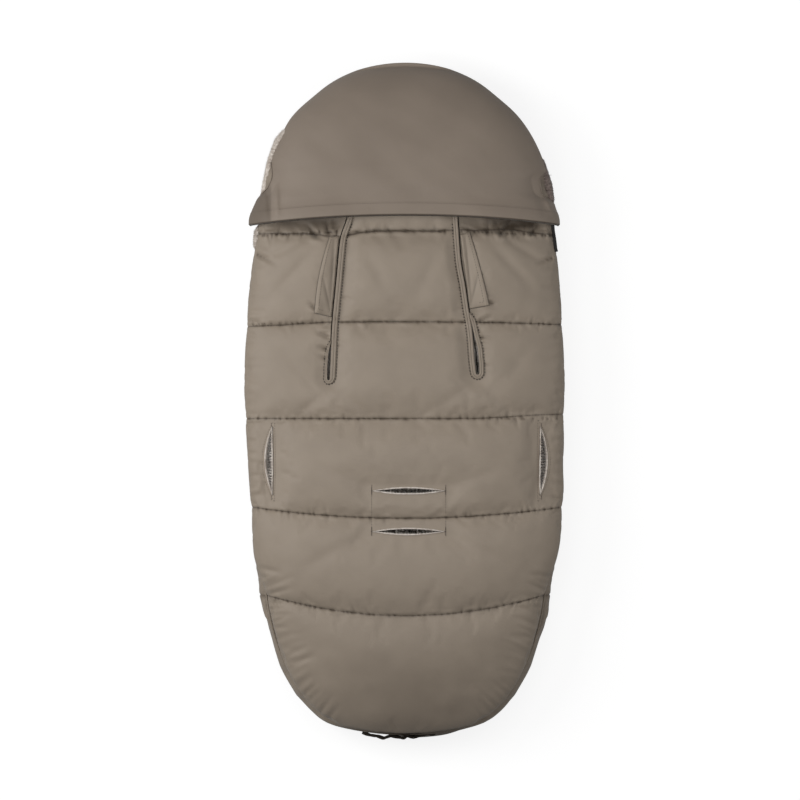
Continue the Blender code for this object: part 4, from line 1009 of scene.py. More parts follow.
# The slits are topstitched with a thicker, darker thread.
DARK_THREAD = thread_material("dark_thread", "#2c241e")
draw = np.random.default_rng(17)
BAND = np.array([(-0.50, -0.5), (-0.50, 0.15), (-0.44, 0.42), (-0.32, 0.52), (-0.02, 0.48),
                 (0.06, 0.34), (0.14, 0.48), (0.32, 0.50), (0.44, 0.42), (0.50, 0.15),
                 (0.50, -0.5)])
for side, (inner_width, outer_width) in STRIP_WIDTHS.items():
    away = 1 if side == "left" else -1
    edge = slit_outline(side, 0, 0, 0, STRIP_TOPS[side])
    edge = resample(np.column_stack([edge, 0 * edge[:, 0]]), 0.0020)
    way = -sides_of(edge) * away
    low = int(np.argmin(edge[:, 1]))
    run = (np.arange(len(edge)) - low) * 0.0020
    width = outer_width + (inner_width - outer_width) * ease(0.5 - run / 0.016)
    width = width * (0.25 + 0.75 * ease((len(edge) - 1 - np.arange(len(edge))) / 6))
    centre = edge + way * (width / 2 - 0.0002)[:, None]
    beyond = (centre + way * (width / 2 + 0.0015)[:, None])[:, :2]
    level = np.minimum(pad_levels((centre + way * 0.0030)[:, :2]), pad_levels(beyond) + 0.001)
    smooth(level, 6)
    over_flap = 0.0012 * ease((centre[:, 1] - 0.115) / 0.01)
    path = np.column_stack([centre[:, :2], level + 0.0012 + over_flap])
    thick = 0.0032 * (1 + 0.06 * draw.random(len(path)))
    # Painted shade: dark lines along the tape's two edges and its middle groove.
    tape_edge_painted_shade = np.tile(0.45 * (np.abs(BAND[:, 0]) > 0.49) + 0.8 * (BAND[:, 0] == 0.06),
                         (len(path), 1))
    tape = skin(f"slit_tape_{side}", swept(path, BAND, way, width, thick), BINDING, ring=True,
                painted_shade=tape_edge_painted_shade)
    hand_over(tape, "back_pad", "binding", f"slit_binding_{side}")
    sewn = beyond[beyond[:, 1] < 0.262]
    sewn[:, 0] += 0.0004 * np.sin(np.arange(len(sewn)) * 1.9)
    pad_stitches(f"slit_stitches_{side}", sewn, 0.0003, 0.0024, 0.0022, 0.0015, DARK_THREAD)
    inside = edge[edge[:, 1] < STRIP_TOPS[side]][4:-4]
    inside = inside[inside[:, 1] < STRIP_TOPS[side] - 0.01]
    count = 1400
    pick = draw.integers(0, len(inside), count)
    into = sides_of(inside) * away
    depth = 0.003 + 0.016 * draw.random((count, 1)) ** 1.3
    if side == "right":
        depth[np.abs(inside[pick, 1] - 0.070) < 0.013] *= 0.35
    roots = inside[pick] - into[pick] * 0.0006
    roots[:, 2] = pad_levels((inside - into * 0.004)[:, :2])[pick]
    roots = roots - [0, 0, 1.0] * depth
    lean = into[pick] + 0.9 * (draw.random((count, 3)) - 0.5) + [0, 0, 0.25]
    tufts(f"slit_fuzz_{side}", roots, lean, 0.0020 + 0.0030 * draw.random(count), 0.0004, PALE_FLEECE)

# Slit flaps: a small folded piece of the same cloth sewn to the outer side of each
# slit, which shades it.  It lies flat.
FLAPS = {"left": ((-0.0978, 0.2420), (-0.1110, 0.2420), (-0.1332, 0.1300), (-0.1094, 0.1245)),
         "right": ((0.0805, 0.2440), (0.0940, 0.2480), (0.1222, 0.1412), (0.0948, 0.1364))}
# Each flap's seam, as a point and the direction square to it.
FLAP_SEAMS = {"left": ((-0.1059, 0.1798), (-0.9955, 0.0940)),
              "right": ((0.0985, 0.1858), (0.9887, 0.1500))}


for side, corners in FLAPS.items():
    top_in, top_out, low_out, low_in = [np.array(c) for c in corners]
    rows = []
    for down in np.linspace(0, 1, 41):
        near, far = top_in + (low_in - top_in) * down, top_out + (low_out - top_out) * down
        row = []
        for share in np.linspace(0, 1, 15):
            x, y = near + (far - near) * share
            x += 0.0040 * math.sin(math.pi * down) * share * (-1 if side == "left" else 0.3)
            curl = 0.0018 * ease((share - 0.55) / 0.45) * ease((down - 0.45) / 0.55)
            row.append(on_pad(x, y, 0.0009 + curl))
        rows.append(row)
    under = np.array(rows)
    for _ in range(3):
        smooth(under[..., 2], 1)
        smooth(under[..., 2].T, 1)
    over = under.copy()
    rim_share = np.minimum(np.minimum(np.arange(15), np.arange(15)[::-1])[None, :],
                           np.arange(41)[::-1][:, None] / 1.5)
    over[..., 2] += 0.0012 + 0.0010 * ease(rim_share / 2)
    # Inner folds: the flap is drawn into the slit at its lower inner corner, with painted shade.
    folds_dark = np.zeros(over.shape[:2])
    for start, end, depth in (((top_in + top_out) / 2, low_in * 0.9 + low_out * 0.1, 0.0016),
                              (top_out * 0.5 + low_out * 0.5, low_in, 0.0012)):
        across_fold, share = line_share(over[..., 0], over[..., 1], start, end)
        pressed = bump(across_fold, 0, 0.0022) * np.sin(math.pi * share) ** 0.5
        over[..., 2] -= depth * pressed
        folds_dark = np.maximum(folds_dark, 0.5 * pressed ** 3)
    # A painted shadow line: the under layer is painted dark and shows past the outer and lower edges.
    out = 1 if side == "right" else -1
    under[:, -1, 0] += out * 0.0012
    under[-1, :, 1] -= 0.0012
    shaded = np.concatenate([np.ones(under.shape[:2]), folds_dark[:, ::-1]], 1)
    flap = two_faced(f"flap_{side}", under, over, CLOTH, shaded)
    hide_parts(f"slit_flap_{side}")
    (x, y), (across_x, across_y) = FLAP_SEAMS[side]
    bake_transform(flap)
    sewn = [over[i, 11] for i in range(0, 39)] + [over[38, j] for j in range(11, 6, -1)]
    stitches(f"flap_stitches_{side}", np.array(sewn) + [0, 0, 0.0001], f"flap_{side}", 0.0024,
             0.0016, 0.0007)


# Strap slots: two crotch slots across the middle and one waist slot at each side.
# Each is lined with a sleeve of the pale fleece that shows as a soft lip, and is
# tacked at its ends; two rows of stitches join the ends of the crotch slots.
SLEEVE_DEPTH = 0.022
LIP = np.array([(-0.0012, 0.0004), (-0.0002, 0.0013), (0.0012, 0.0015), (0.0024, 0.0008),
                (0.0028, -0.0008), (0.0022, -0.0040), (0.0020, -SLEEVE_DEPTH),
                (0.0006, -SLEEVE_DEPTH), (0.0004, -0.0040), (0.0002, -0.0012)])
draw = np.random.default_rng(23)
for key, (centre, half_long, rises, upright, tilt) in SLOTS.items():
    outline = lens_outline(centre, half_long, rises, upright, 0.0006)
    level = pad_levels(outline)
    outline[:, 0] += (level - LEAN_Z) * math.tan(tilt)
    path = np.column_stack([outline, level + 0.0001])
    run = (outline[:, 1] if upright else outline[:, 0]) - centre[1 if upright else 0]
    local = sum(rises) / 2 * (1 - np.clip(np.abs(run) / half_long, 0, 1) ** 2)
    width = 0.54 * np.clip(local / 0.0030, 0.55, 1)
    side = sides_of(path, loop=True)
    rings = swept(path, LIP, side, width, loop=True)
    rings[..., 0] += (rings[..., 2] - path[:, None, 2]) * math.tan(tilt)
    rings += 0.0003 * (draw.random(rings.shape) - 0.5)
    facing = skin(f"{key}_sleeve", rings, PALE_FLEECE, ring=True, loop=True)
    kind, place = key.split("_")
    hand_over(facing, "back_pad", "fleece", f"{kind}_facing_{place}")
    count = 1500
    pick = draw.integers(0, len(path), count)
    share = draw.random((count, 1))
    near = path[pick] * (1 - share) + path[(pick + 1) % len(path)] * share
    across = draw.random((count, 1)) * width[pick, None]
    roots = near + side[pick] * (0.0024 * across - 0.0004) + [0, 0, 0.0008]
    ways = side[pick] * (across - 0.35) * 2 + [0, 0, 0.9] + 0.9 * (draw.random((count, 3)) - 0.5)
    tufts(f"{key}_fuzz", roots, ways, 0.0005 + 0.0009 * draw.random(count), 0.00022, PALE_FLEECE)
    count, stray = (2200, 0.9) if upright else (420, 2.6)
    deep = draw.random((count, 1)) ** 1.4
    pick = draw.integers(0, len(path), count)
    roots = path[pick] + side[pick] * 0.0022 * width[pick, None] \
        - np.array([math.tan(tilt), 0, 1.0]) * (0.0015 + 0.014 * deep)
    ways = side[pick] + stray * (draw.random((count, 3)) - 0.5)
    reach = local[pick] * (0.4 + 0.8 * draw.random(count)) + 0.0006
    tufts(f"{key}_inner_fuzz", roots, ways, reach, 0.0005, PALE_FLEECE)
    if upright:
        framed = lens_outline(centre, half_long, rises, upright, -0.0026)
        framed[:, 0] += (level.mean() - LEAN_Z) * math.tan(tilt)
        framed = np.concatenate([framed, framed[:1]])
        pad_stitches(f"{key}_stitches", framed, 0.0001, 0.0022, 0.0016, 0.0006)
BOX_SIDES, BOX_HIGH, BOX_LOW = (-0.0498, 0.0590), -0.1224, -0.1991
for number, x in enumerate(BOX_SIDES):
    line = [(x, y) for y in np.linspace(BOX_HIGH, BOX_LOW, 60)]
    pad_stitches(f"crotch_side_stitches_{number}", line, 0.0001, 0.0024, 0.0016, 0.0008)
for number, (x, y) in enumerate([(x, y) for x in BOX_SIDES for y in CROTCH_YS.values()]):
    tack = [(x + 0.0003 * (-1) ** i, y - 0.0060 + 0.0006 * i) for i in range(21)]
    pad_stitches(f"bar_tack_{number}", tack, 0.0003, 0.0012, 0.0001, 0.0010)
for side, x in WAIST_XS.items():
    for number, (y0, y1) in enumerate(((0.0560, 0.0500), (-0.0500, -0.0580))):
        lean_x = 0.004 if side == "right" else -0.004
        line = [(x + lean_x, WAIST_Y + y) for y in np.linspace(y0, y1, 9)]
        pad_stitches(f"waist_tack_{side}_{number}", line, 0.0002, 0.0018, 0.0003, 0.0009)

# Hood wall: a band of the cloth over thin wadding, sewn to the pad round the head
# and gathered toward its elastic edge, which draws in under the child's chin side.
HOOD_INSET, HOOD_START_Y, HOOD_THICK = 0.008, 0.2150, 0.010
hood_half = float(side_half(HEAD_START_Y)) - HOOD_INSET
hood_rise = HEAD_TIP_Y - HEAD_START_Y - HOOD_INSET
turn = np.linspace(0, math.pi, 400)
hood_plan = np.concatenate([[(hood_half, HOOD_START_Y, 0)],
                            np.column_stack([hood_half * np.cos(turn),
                                             HEAD_START_Y + hood_rise * np.sin(turn), 0 * turn]),
                            [(-hood_half, HOOD_START_Y, 0)]])
hood_plan = resample(hood_plan, 0.0024)
hood_side = sides_of(hood_plan)
HOOD_LEVELS = (0.0718, 0.0600, 0.0450, 0.0300, 0.0187, 0.0120)
HOOD_OUTS = (0.0040, 0.0076, 0.0090, 0.0072, 0.0010, -0.0037)
down = np.linspace(0, 1, 25)
level = HOOD_LEVELS[0] + (HOOD_LEVELS[-1] - HOOD_LEVELS[0]) * down
out = np.interp(-level, [-z for z in HOOD_LEVELS], HOOD_OUTS)
smooth(out, 2)
draw = np.random.default_rng(29)
run = np.arange(len(hood_plan)) * 0.0024
gather = sum(swell(run[:, None] + 7.1 * k, down * 0.02 + k, cell, draw) * size
             for k, (cell, size) in enumerate(((0.017, 1.0), (0.009, 0.7), (0.032, 0.8))))
fall = ease(np.minimum(run, run[-1] - run) / 0.012)[:, None]


def hood_layer(offset, depth):
    """One face of the hood's wall, with its gathers."""
    pushed = out + offset + depth * gather * (0.10 + 0.90 * down ** 1.5) * fall
    layer = hood_plan[:, None] + hood_side[:, None] * pushed[..., None]
    layer[..., 2] = level
    return layer


hood = two_faced("hood_band", hood_layer(0, 0.0055), hood_layer(-HOOD_THICK, 0.002), CLOTH)
hand_over(hood, "back_pad", "shell_fabric", "hood_wall")
stitches("hood_stitches", hood_layer(0.0003, 0.0055)[4:-4, 22], "back_pad")

# Hood lining: the fleece on the wall's inner face.  At the sides of the head and at
# the left of the neck it is turned out over the pad's edge, where it shows beside
# the pocket as soft rolls; threads hold its gathers on the right.
hood_fleece = two_faced("fleece_hood", hood_layer(-HOOD_THICK - GAP, 0.002),
                        hood_layer(-HOOD_THICK - LINING_THICK, 0.003), FLEECE)
hand_over(hood_fleece, "back_pad", "fleece", "hood_lining")
draw = np.random.default_rng(31)
# The same fleece pressed flat by the gathers, which looks darker and browner.
PRESSED_FLEECE = fleece("gathered_fleece", "#8a7c75", "#5a4f49")
HEAD_ROLLS = {
    "left": (((-0.1750, 0.408), (-0.1931, 0.386), (-0.2046, 0.353), (-0.2111, 0.320),
              (-0.2145, 0.296)), 0.0960, 0.0150, 0.0180, 0.0018, PALE_FLEECE),
    "right": (((0.2010, 0.366), (0.2080, 0.346), (0.2168, 0.320), (0.2190, 0.302),
               (0.2225, 0.286)), 0.0960, 0.0180, 0.0200, 0.0006, PRESSED_FLEECE),
    "neck": (((-0.2205, 0.262), (-0.2232, 0.250), (-0.2246, 0.238), (-0.2242, 0.228),
              (-0.2236, 0.218)), 0.0930, 0.0110, 0.0150, 0.0016, PALE_FLEECE)}
for side, (places, roll_z, wide_roll, tall_roll, fluff, cloth) in HEAD_ROLLS.items():
    away = 1 if side == "right" else -1
    line = resample([(x, y, roll_z) for x, y in places], 0.0010)
    smooth(line, 30)
    out = sides_of(line)
    out *= np.sign(out[:, :1]) * away
    tip = np.arange(len(line))
    taper = np.sqrt(ease(np.minimum(tip, tip[::-1]) / 14)) * 0.9 + 0.1
    gathers = 1 + 0.10 * np.sin(tip * 0.9 + 3 * np.sin(tip * 0.13)) * taper
    rings = swept(line - out * (wide_roll / 2) * gathers[:, None], oval(wide_roll, tall_roll, 28),
                  out, taper * gathers, taper * gathers)
    rings += 0.0007 * (draw.random(rings.shape) - 0.5)
    roll = skin(f"fleece_roll_{side}", rings, cloth, ring=True)
    hand_over(roll, "back_pad", "fleece")
    count = 5200
    i, j = draw.integers(0, rings.shape[0], count), draw.integers(0, 15, count)
    middle = rings.mean(1)
    ways = (rings[i, j] - middle[i]) / 0.01 + 0.8 * (draw.random((count, 3)) - 0.5)
    roots = rings[i, j] + 0.0010 * (draw.random((count, 3)) - 0.5)
    tufts(f"fleece_roll_fuzz_{side}", roots, ways, fluff * (0.3 + draw.random(count)), 0.00025, cloth)
for number, y in enumerate((0.331, 0.309)):
    hit = [(0.2030 + 0.0016 * k, y + 0.0003 * k, 0.1085 - 0.00012 * k * k) for k in range(9)]
    stitches(f"gather_stitches_{number}", np.array(hit), "back_pad", 0.0022, 0.0012, 0.0008)

# Hood rim: a tube of the binding cloth sewn round an elastic cord at the wall's lower
# edge.  The cord draws the cloth in, so the tube is puckered all along.
rim_low, rim_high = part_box("hood_rim")
rim_line = hood_plan - hood_side * 0.008
rim_line[:, 2] = (rim_low.z + rim_high.z) / 2
even = resample(rim_line, 0.0012)
pucker_size = 1 + 0.13 * np.abs(np.sin(np.arange(len(even)) * 0.62)) - 0.13 \
    + 0.06 * draw.random(len(even))
elastic_edge = skin("elastic_edge", swept(even, oval(0.0108, 0.0108, 16), None, pucker_size,
                                          pucker_size), BINDING, ring=True)
hand_over(elastic_edge, "back_pad", "binding", "hood_rim")

# Pocket: a plain sheet of the cloth, sewn round the crown and open along its hem,
# which slips over the top of the stroller's backrest.  It isn't quilted.
pocket_low, pocket_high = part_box("pocket_sheet")
POCKET_HEM_Y = 0.274
# Painted shade: the same microfibre drawn a shade darker for the dimmer light on the
# pocket; without wadding, its wrinkles are broader and softer.
PLAIN_CLOTH = woven("plain_microfibre", "#807468", "#453b30", 0.0008, 0.040, 0.58, 0.12)


def pocket_half(y):
    """Half width of the pocket, with the wings by its hem."""
    run = np.clip((y - 0.280) / (pocket_high.y + 0.0015 - 0.280), 0, 1)
    wings = 0.0135 * ease((0.311 - y) / 0.048)
    return (HALF_WIDTH - 0.0175) * np.sqrt(1 - run * run) - 0.0034 * bump(y, 0.450, 0.020) + wings


share = np.linspace(0, 1, 110)
share = 0.75 * share + 0.25 * (1 - np.cos(math.pi * share)) / 2
ys = pocket_high.y + (POCKET_HEM_Y - pocket_high.y) * share
bows = -0.011 - 0.003 * share
half = pocket_half(ys + bows)
dome = dome_share(ys)[:, None]
u = dome_stops(181)
crown = 0.021 * dome * (1 - u ** 4)
stretched = 0.4 * across_share(u) + 0.6 * (1 - np.abs(u) ** 5) ** 0.6
z = RIM_Z + 0.0034 + dome * (SIDE_RISE + DOME_RISE * stretched) + crown
drop = np.linspace(0, 1, 9)[1:]
z_edge = z[:, :1] + (pocket_low.z - z[:, :1]) * drop
x = half[:, None] * u
tuck = 1 - 0.006 * drop ** 2
x = np.hstack([(-half[:, None] * tuck)[:, ::-1], x, half[:, None] * tuck])
z = np.hstack([z_edge[:, ::-1], z, z_edge])
sheet = bowed(x, z, ys, bows, half)
sheet_x, sheet_y, sheet_z = np.moveaxis(sheet, -1, 0)
inset = np.where(x < 0, (0.0150 * bump(sheet_y, 0.328, 0.026) + 0.0045 * bump(sheet_y, 0.385, 0.025))
                 * ease((sheet_y - 0.294) / 0.020),
                 0.0140 * ease((0.340 - sheet_y) / 0.016) * ease((sheet_y - 0.290) / 0.018)
                 + 0.0022 * ease((0.300 - sheet_y) / 0.02) + 0.0015)
sheet_x -= np.sign(x) * inset * np.abs(x / half[:, None]) ** 6
draw = np.random.default_rng(37)
free = ease((share - 0.02) / 0.2)[:, None] * ease((1 - np.abs(x / half[:, None])) / 0.10)
sheet_z += free * (0.0040 * swell(sheet_x, sheet_y * 0.6, 0.095, draw)
                   + 0.0016 * swell(sheet_x + sheet_y, sheet_y, 0.040, draw))
hem = ease((share - 0.86) / 0.14)[:, None]
raised = ease((np.abs(sheet_x) - 0.070) / 0.040)
sheet_z += hem * free * (0.0006 + 0.0040 * raised + 0.0030 * swell(sheet_x, 0 * x, 0.060, draw))
POCKET_FOLDS = (((-0.191, 0.326), (-0.189, 0.270), -0.0042, 0.0045),
                ((-0.203, 0.325), (-0.199, 0.270), 0.0030, 0.004),
                ((0.204, 0.306), (0.221, 0.268), -0.0030, 0.004),
                ((0.190, 0.330), (0.205, 0.272), 0.0026, 0.006),
                ((-0.150, 0.395), (-0.090, 0.345), 0.0012, 0.014),
                ((0.150, 0.400), (0.085, 0.350), 0.0012, 0.014))
press_folds(sheet, POCKET_FOLDS)
# The sheet lies on the pad wherever it would sink into it.
for point in sheet.reshape(-1, 3):
    hit = pad_tree.ray_cast(Vector((point[0], point[1], 0.3)), Vector((0, 0, -1)))[0]
    if hit is not None:
        point[2] = max(point[2], hit.z + 0.0030)


def normals_of(grid):
    """Upward or outward direction at each point of a grid."""
    normal = np.cross(np.gradient(grid, axis=0), np.gradient(grid, axis=1))
    normal /= np.maximum(np.linalg.norm(normal, axis=2, keepdims=True), 1e-9)
    return normal * np.where(normal[..., 2:].mean() < 0, -1, 1)


HEM_DEPTH = 0.018
from_hem = (share[-1] - share) * (pocket_high.y - POCKET_HEM_Y)
folded_hem = ease((HEM_DEPTH + 0.0006 - from_hem) / 0.0012)[:, None, None]
normal = normals_of(sheet)
top = sheet + normal * (0.0004 * folded_hem)
under = sheet - normal * (0.0012 + 0.0006 * folded_hem)
under[-1] -= [0, 0.0020, 0.0010]
pocket_painted_shade = np.zeros(top.shape[:2])
# Painted shade: a faint dark line along the hem's fold.
pocket_painted_shade[np.abs(from_hem - HEM_DEPTH) < 0.0012] = 0.05
# Painted shade: the left wing hangs beside the pad, turned from the light behind its ridge.
pocket_painted_shade += 0.45 * ease((-0.1960 - top[..., 0]) / 0.004) * ease((0.322 - top[..., 1]) / 0.012)
# Painted shade: the hem's lower edge and its underside are drawn dark, as they lie in their own shade.
pocket_painted_shade[-1] = 0.9
pocket_under_painted_shade = np.zeros(top.shape[:2])
pocket_under_painted_shade[-6:] = 1
pocket = two_faced("pocket_sheet_cloth", top, under, PLAIN_CLOTH,
                   np.concatenate([pocket_painted_shade, pocket_under_painted_shade], 1))
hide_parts("pocket_sheet")
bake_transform(pocket)
hem_row = int(np.argmin(np.abs(from_hem - HEM_DEPTH + 0.002)))
hem_line = top[hem_row, 12:-12] + [0, 0, 0.0001]
stitches("hem_stitches", hem_line, "head_pocket", 0.0026, 0.0014, 0.0004)

# Zips: two woven black tapes on each side, each with a nylon coil along its free
# edge, from the neck down the side and round the toe's corner.  At the right of the
# neck a loose end of tape comes out over the pad.
ZIP_Z, BEAD_GAP, BEAD_HEIGHT, TAPE_THICK, STOP_LENGTH = 0.060, 0.0016, 0.0026, 0.0011, 0.0035
# Woven polyester, black and matt; its 0.5 mm ribs are drawn at 0.9 mm.
TAPE = woven("black_zip_tape", "#1f1d1c", "#0d0c0c", 0.0009, 0.010, 0.75, 0.1)
# Moulded nylon: near black and smoother than the tape, with scuffs that dull it.
COIL, tree, shader, place = start_material("nylon_coil", "#191817", 0.38, 0.5)
scuff = add_node(tree, "TexNoise", {"Scale": 400.0, "Detail": 3.0}, [("Vector", place.outputs["Object"])])
shine = add_node(tree, "MapRange", {"To Min": 0.30, "To Max": 0.55}, [("Value", scuff)])
tree.links.new(shine.outputs[0], shader.inputs["Roughness"])
tape_end = zip_run[-1] - GUSSET_HALF - STOP_LENGTH - 0.0006
tape_plan = zip_line[zip_run <= tape_end]
COIL_PITCH, COIL_TURN_STEPS = 0.0017, 7
for way, side in ((-1, "left"), (1, "right")):
    plan = tape_plan * [way, 1, 1]
    out = sides_of(plan)
    for half_name, body, low, high, bead in (
            ("front", "front_cover", COVER_RIM_Z + 0.0003, ZIP_Z - BEAD_GAP / 2 - 0.0012,
             ZIP_Z - BEAD_GAP / 2 - BEAD_HEIGHT / 2),
            ("back", "back_pad", ZIP_Z + BEAD_GAP / 2 + 0.0012, RIM_Z - 0.0003,
             ZIP_Z + BEAD_GAP / 2 + BEAD_HEIGHT / 2)):
        tape = standing_band(f"zip_tape_{half_name}_cloth_{side}", plan, out, np.zeros((1, 7)),
                             TAPE_THICK / 2, np.linspace(low, high, 7), TAPE)
        hand_over(tape, body, "zip_tape", f"zip_tape_{half_name}_{side}")
        fine = resample(plan, COIL_PITCH / COIL_TURN_STEPS)
        angle = np.arange(len(fine)) * 2 * math.pi / COIL_TURN_STEPS
        radial = sides_of(fine) * np.cos(angle)[:, None] + [0, 0, 1] * np.sin(angle)[:, None]
        along = np.gradient(fine, axis=0)
        along /= np.linalg.norm(along, axis=1, keepdims=True)
        centre = fine + [0, 0, bead] + radial * 0.00095
        wire = np.stack([centre + radial * 0.0003, centre + along * 0.0003,
                         centre - radial * 0.0003, centre - along * 0.0003], 1)
        coil = skin(f"zip_coil_{half_name}_{side}", wire, COIL, ring=True)
        hand_over(coil, body, "zip_tape")
TAPE_TIP = ((0.2172, 0.2600, 0.0034), (0.2180, 0.2500, 0.0034), (0.2196, 0.2400, 0.0030),
            (0.2208, 0.2310, 0.0026), (0.2214, 0.2250, 0.0018), (0.2226, 0.2200, 0.0010))
tip = [(x, y, on_pad(x - 0.004, y)[2] - 0.004 + lift) for x, y, lift in TAPE_TIP]
tip_line = resample(tip, 0.0012)
tape_end_piece = skin("zip_tape_end_right", swept(tip_line, oval(0.0048, 0.0026, 10)), TAPE,
                      ring=True)
hand_over(tape_end_piece, "back_pad", "zip_tape")

# Zip stops: small clamps of nickel-plated zinc, pressed over both coils at the neck
# and at the toe's end of each zip.
STOP_SIZE = (0.0026, 0.0034, 0.0027)
# Plated zinc: a grey metal whose shine is broken by fine tumbling marks.
METAL, tree, shader, place = start_material("dark_nickel", "#8b8781", 0.32, 0.5, 0.0, 1.0)
wear = add_node(tree, "TexNoise", {"Scale": 900.0, "Detail": 4.0, "Roughness": 0.7},
                [("Vector", place.outputs["Object"])])
dull = add_node(tree, "MapRange", {"To Min": 0.22, "To Max": 0.45}, [("Value", wear)])
brushed = add_node(tree, "Bump", {"Strength": 0.15, "Distance": 0.0002}, [("Height", wear)])
tree.links.new(dull.outputs[0], shader.inputs["Roughness"])
tree.links.new(brushed.outputs[0], shader.inputs["Normal"])


def rounded_block(name, size, bevel, centre, angle=0.0):
    """A small metal block with rounded edges, turned about the vertical."""
    bpy.ops.object.select_all(action="DESELECT")
    bpy.ops.mesh.primitive_cube_add(size=1, location=centre, rotation=(0, 0, angle))
    block = bpy.context.object
    block.name = name
    block.scale = size
    bpy.ops.object.transform_apply(location=True, rotation=True, scale=True)
    edge = block.modifiers.new("rounding", "BEVEL")
    edge.width = bevel
    edge.segments = 3
    bpy.ops.object.modifier_apply(modifier=edge.name)
    block.data.materials.append(METAL)
    block.data.shade_smooth()
    return block


for side in ("left", "right"):
    for end in ("top", "bottom"):
        low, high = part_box(f"zip_stop_{end}_{side}")
        angle = 0.0
        if end == "bottom":
            near = int(np.argmin(np.abs(zip_run - tape_end - STOP_LENGTH / 2)))
            step = (zip_line[near + 1] - zip_line[near - 1]) * (1 if side == "right" else -1)
            angle = math.atan2(step[1], step[0]) + math.pi / 2
            angle = angle if side == "right" else -math.atan2(step[1], -step[0]) - math.pi / 2
        block = rounded_block(f"stop_clamp_{end}_{side}", STOP_SIZE, 0.0006, (low + high) / 2, angle)
        hand_over(block, "front_cover", "zip_metal", f"zip_stop_{end}_{side}")

# Zip sliders: a cast body with two shield-shaped plates, a bridge between them and
# an arch for the pull.  Each rides on its own zip.
SHIELD = ((0.0068, -0.0030), (0.0070, 0.0), (0.0068, 0.0030), (0.0052, 0.0052), (0.0020, 0.0054),
          (-0.0030, 0.0042), (-0.0062, 0.0036), (-0.0069, 0.0), (-0.0062, -0.0036),
          (-0.0030, -0.0042), (0.0020, -0.0054), (0.0052, -0.0052))


def plate(name, outlines, thick, bevel, centre):
    """A flat metal plate on outlines in (y, z), with its holes, standing in that plane."""
    curve = bpy.data.curves.new(name, "CURVE")
    curve.dimensions = "2D"
    curve.fill_mode = "BOTH"
    curve.extrude = thick / 2 - bevel
    curve.bevel_depth = bevel
    curve.bevel_resolution = 2
    for outline in outlines:
        line = curve.splines.new("POLY")
        line.points.add(len(outline) - 1)
        for point, (a, b) in zip(line.points, outline):
            point.co = (a, b, 0, 1)
        line.use_cyclic_u = True
    shape = bpy.data.objects.new(name, curve)
    bpy.context.collection.objects.link(shape)
    bpy.context.view_layer.update()
    mesh = bpy.data.meshes.new_from_object(shape.evaluated_get(
        bpy.context.evaluated_depsgraph_get()))
    bpy.data.objects.remove(shape)
    points = np.empty(len(mesh.vertices) * 3)
    mesh.vertices.foreach_get("co", points)
    points = points.reshape(-1, 3)
    placed = np.column_stack([points[:, 2], points[:, 0], points[:, 1]]) + centre
    mesh.vertices.foreach_set("co", placed.ravel())
    work = bmesh.new()
    work.from_mesh(mesh)
    bmesh.ops.remove_doubles(work, verts=work.verts, dist=1e-6)
    work.to_mesh(mesh)
    work.free()
    mesh.materials.clear()
    mesh.materials.append(METAL)
    mesh.shade_smooth()
    mesh.set_sharp_from_angle(angle=math.radians(40))
    piece = bpy.data.objects.new(name, mesh)
    bpy.context.collection.objects.link(piece)
    return piece


def rounded(outline, share=0.35):
    """Cut the corners of an outline with short curves."""
    points = np.array(outline)
    result = []
    for before, point, after in zip(np.roll(points, 1, 0), points, np.roll(points, -1, 0)):
        start, end = point + (before - point) * share, point + (after - point) * share
        for t in np.linspace(0, 1, 5):
            result.append(tuple((1 - t) ** 2 * start + 2 * t * (1 - t) * point + t * t * end))
    return result


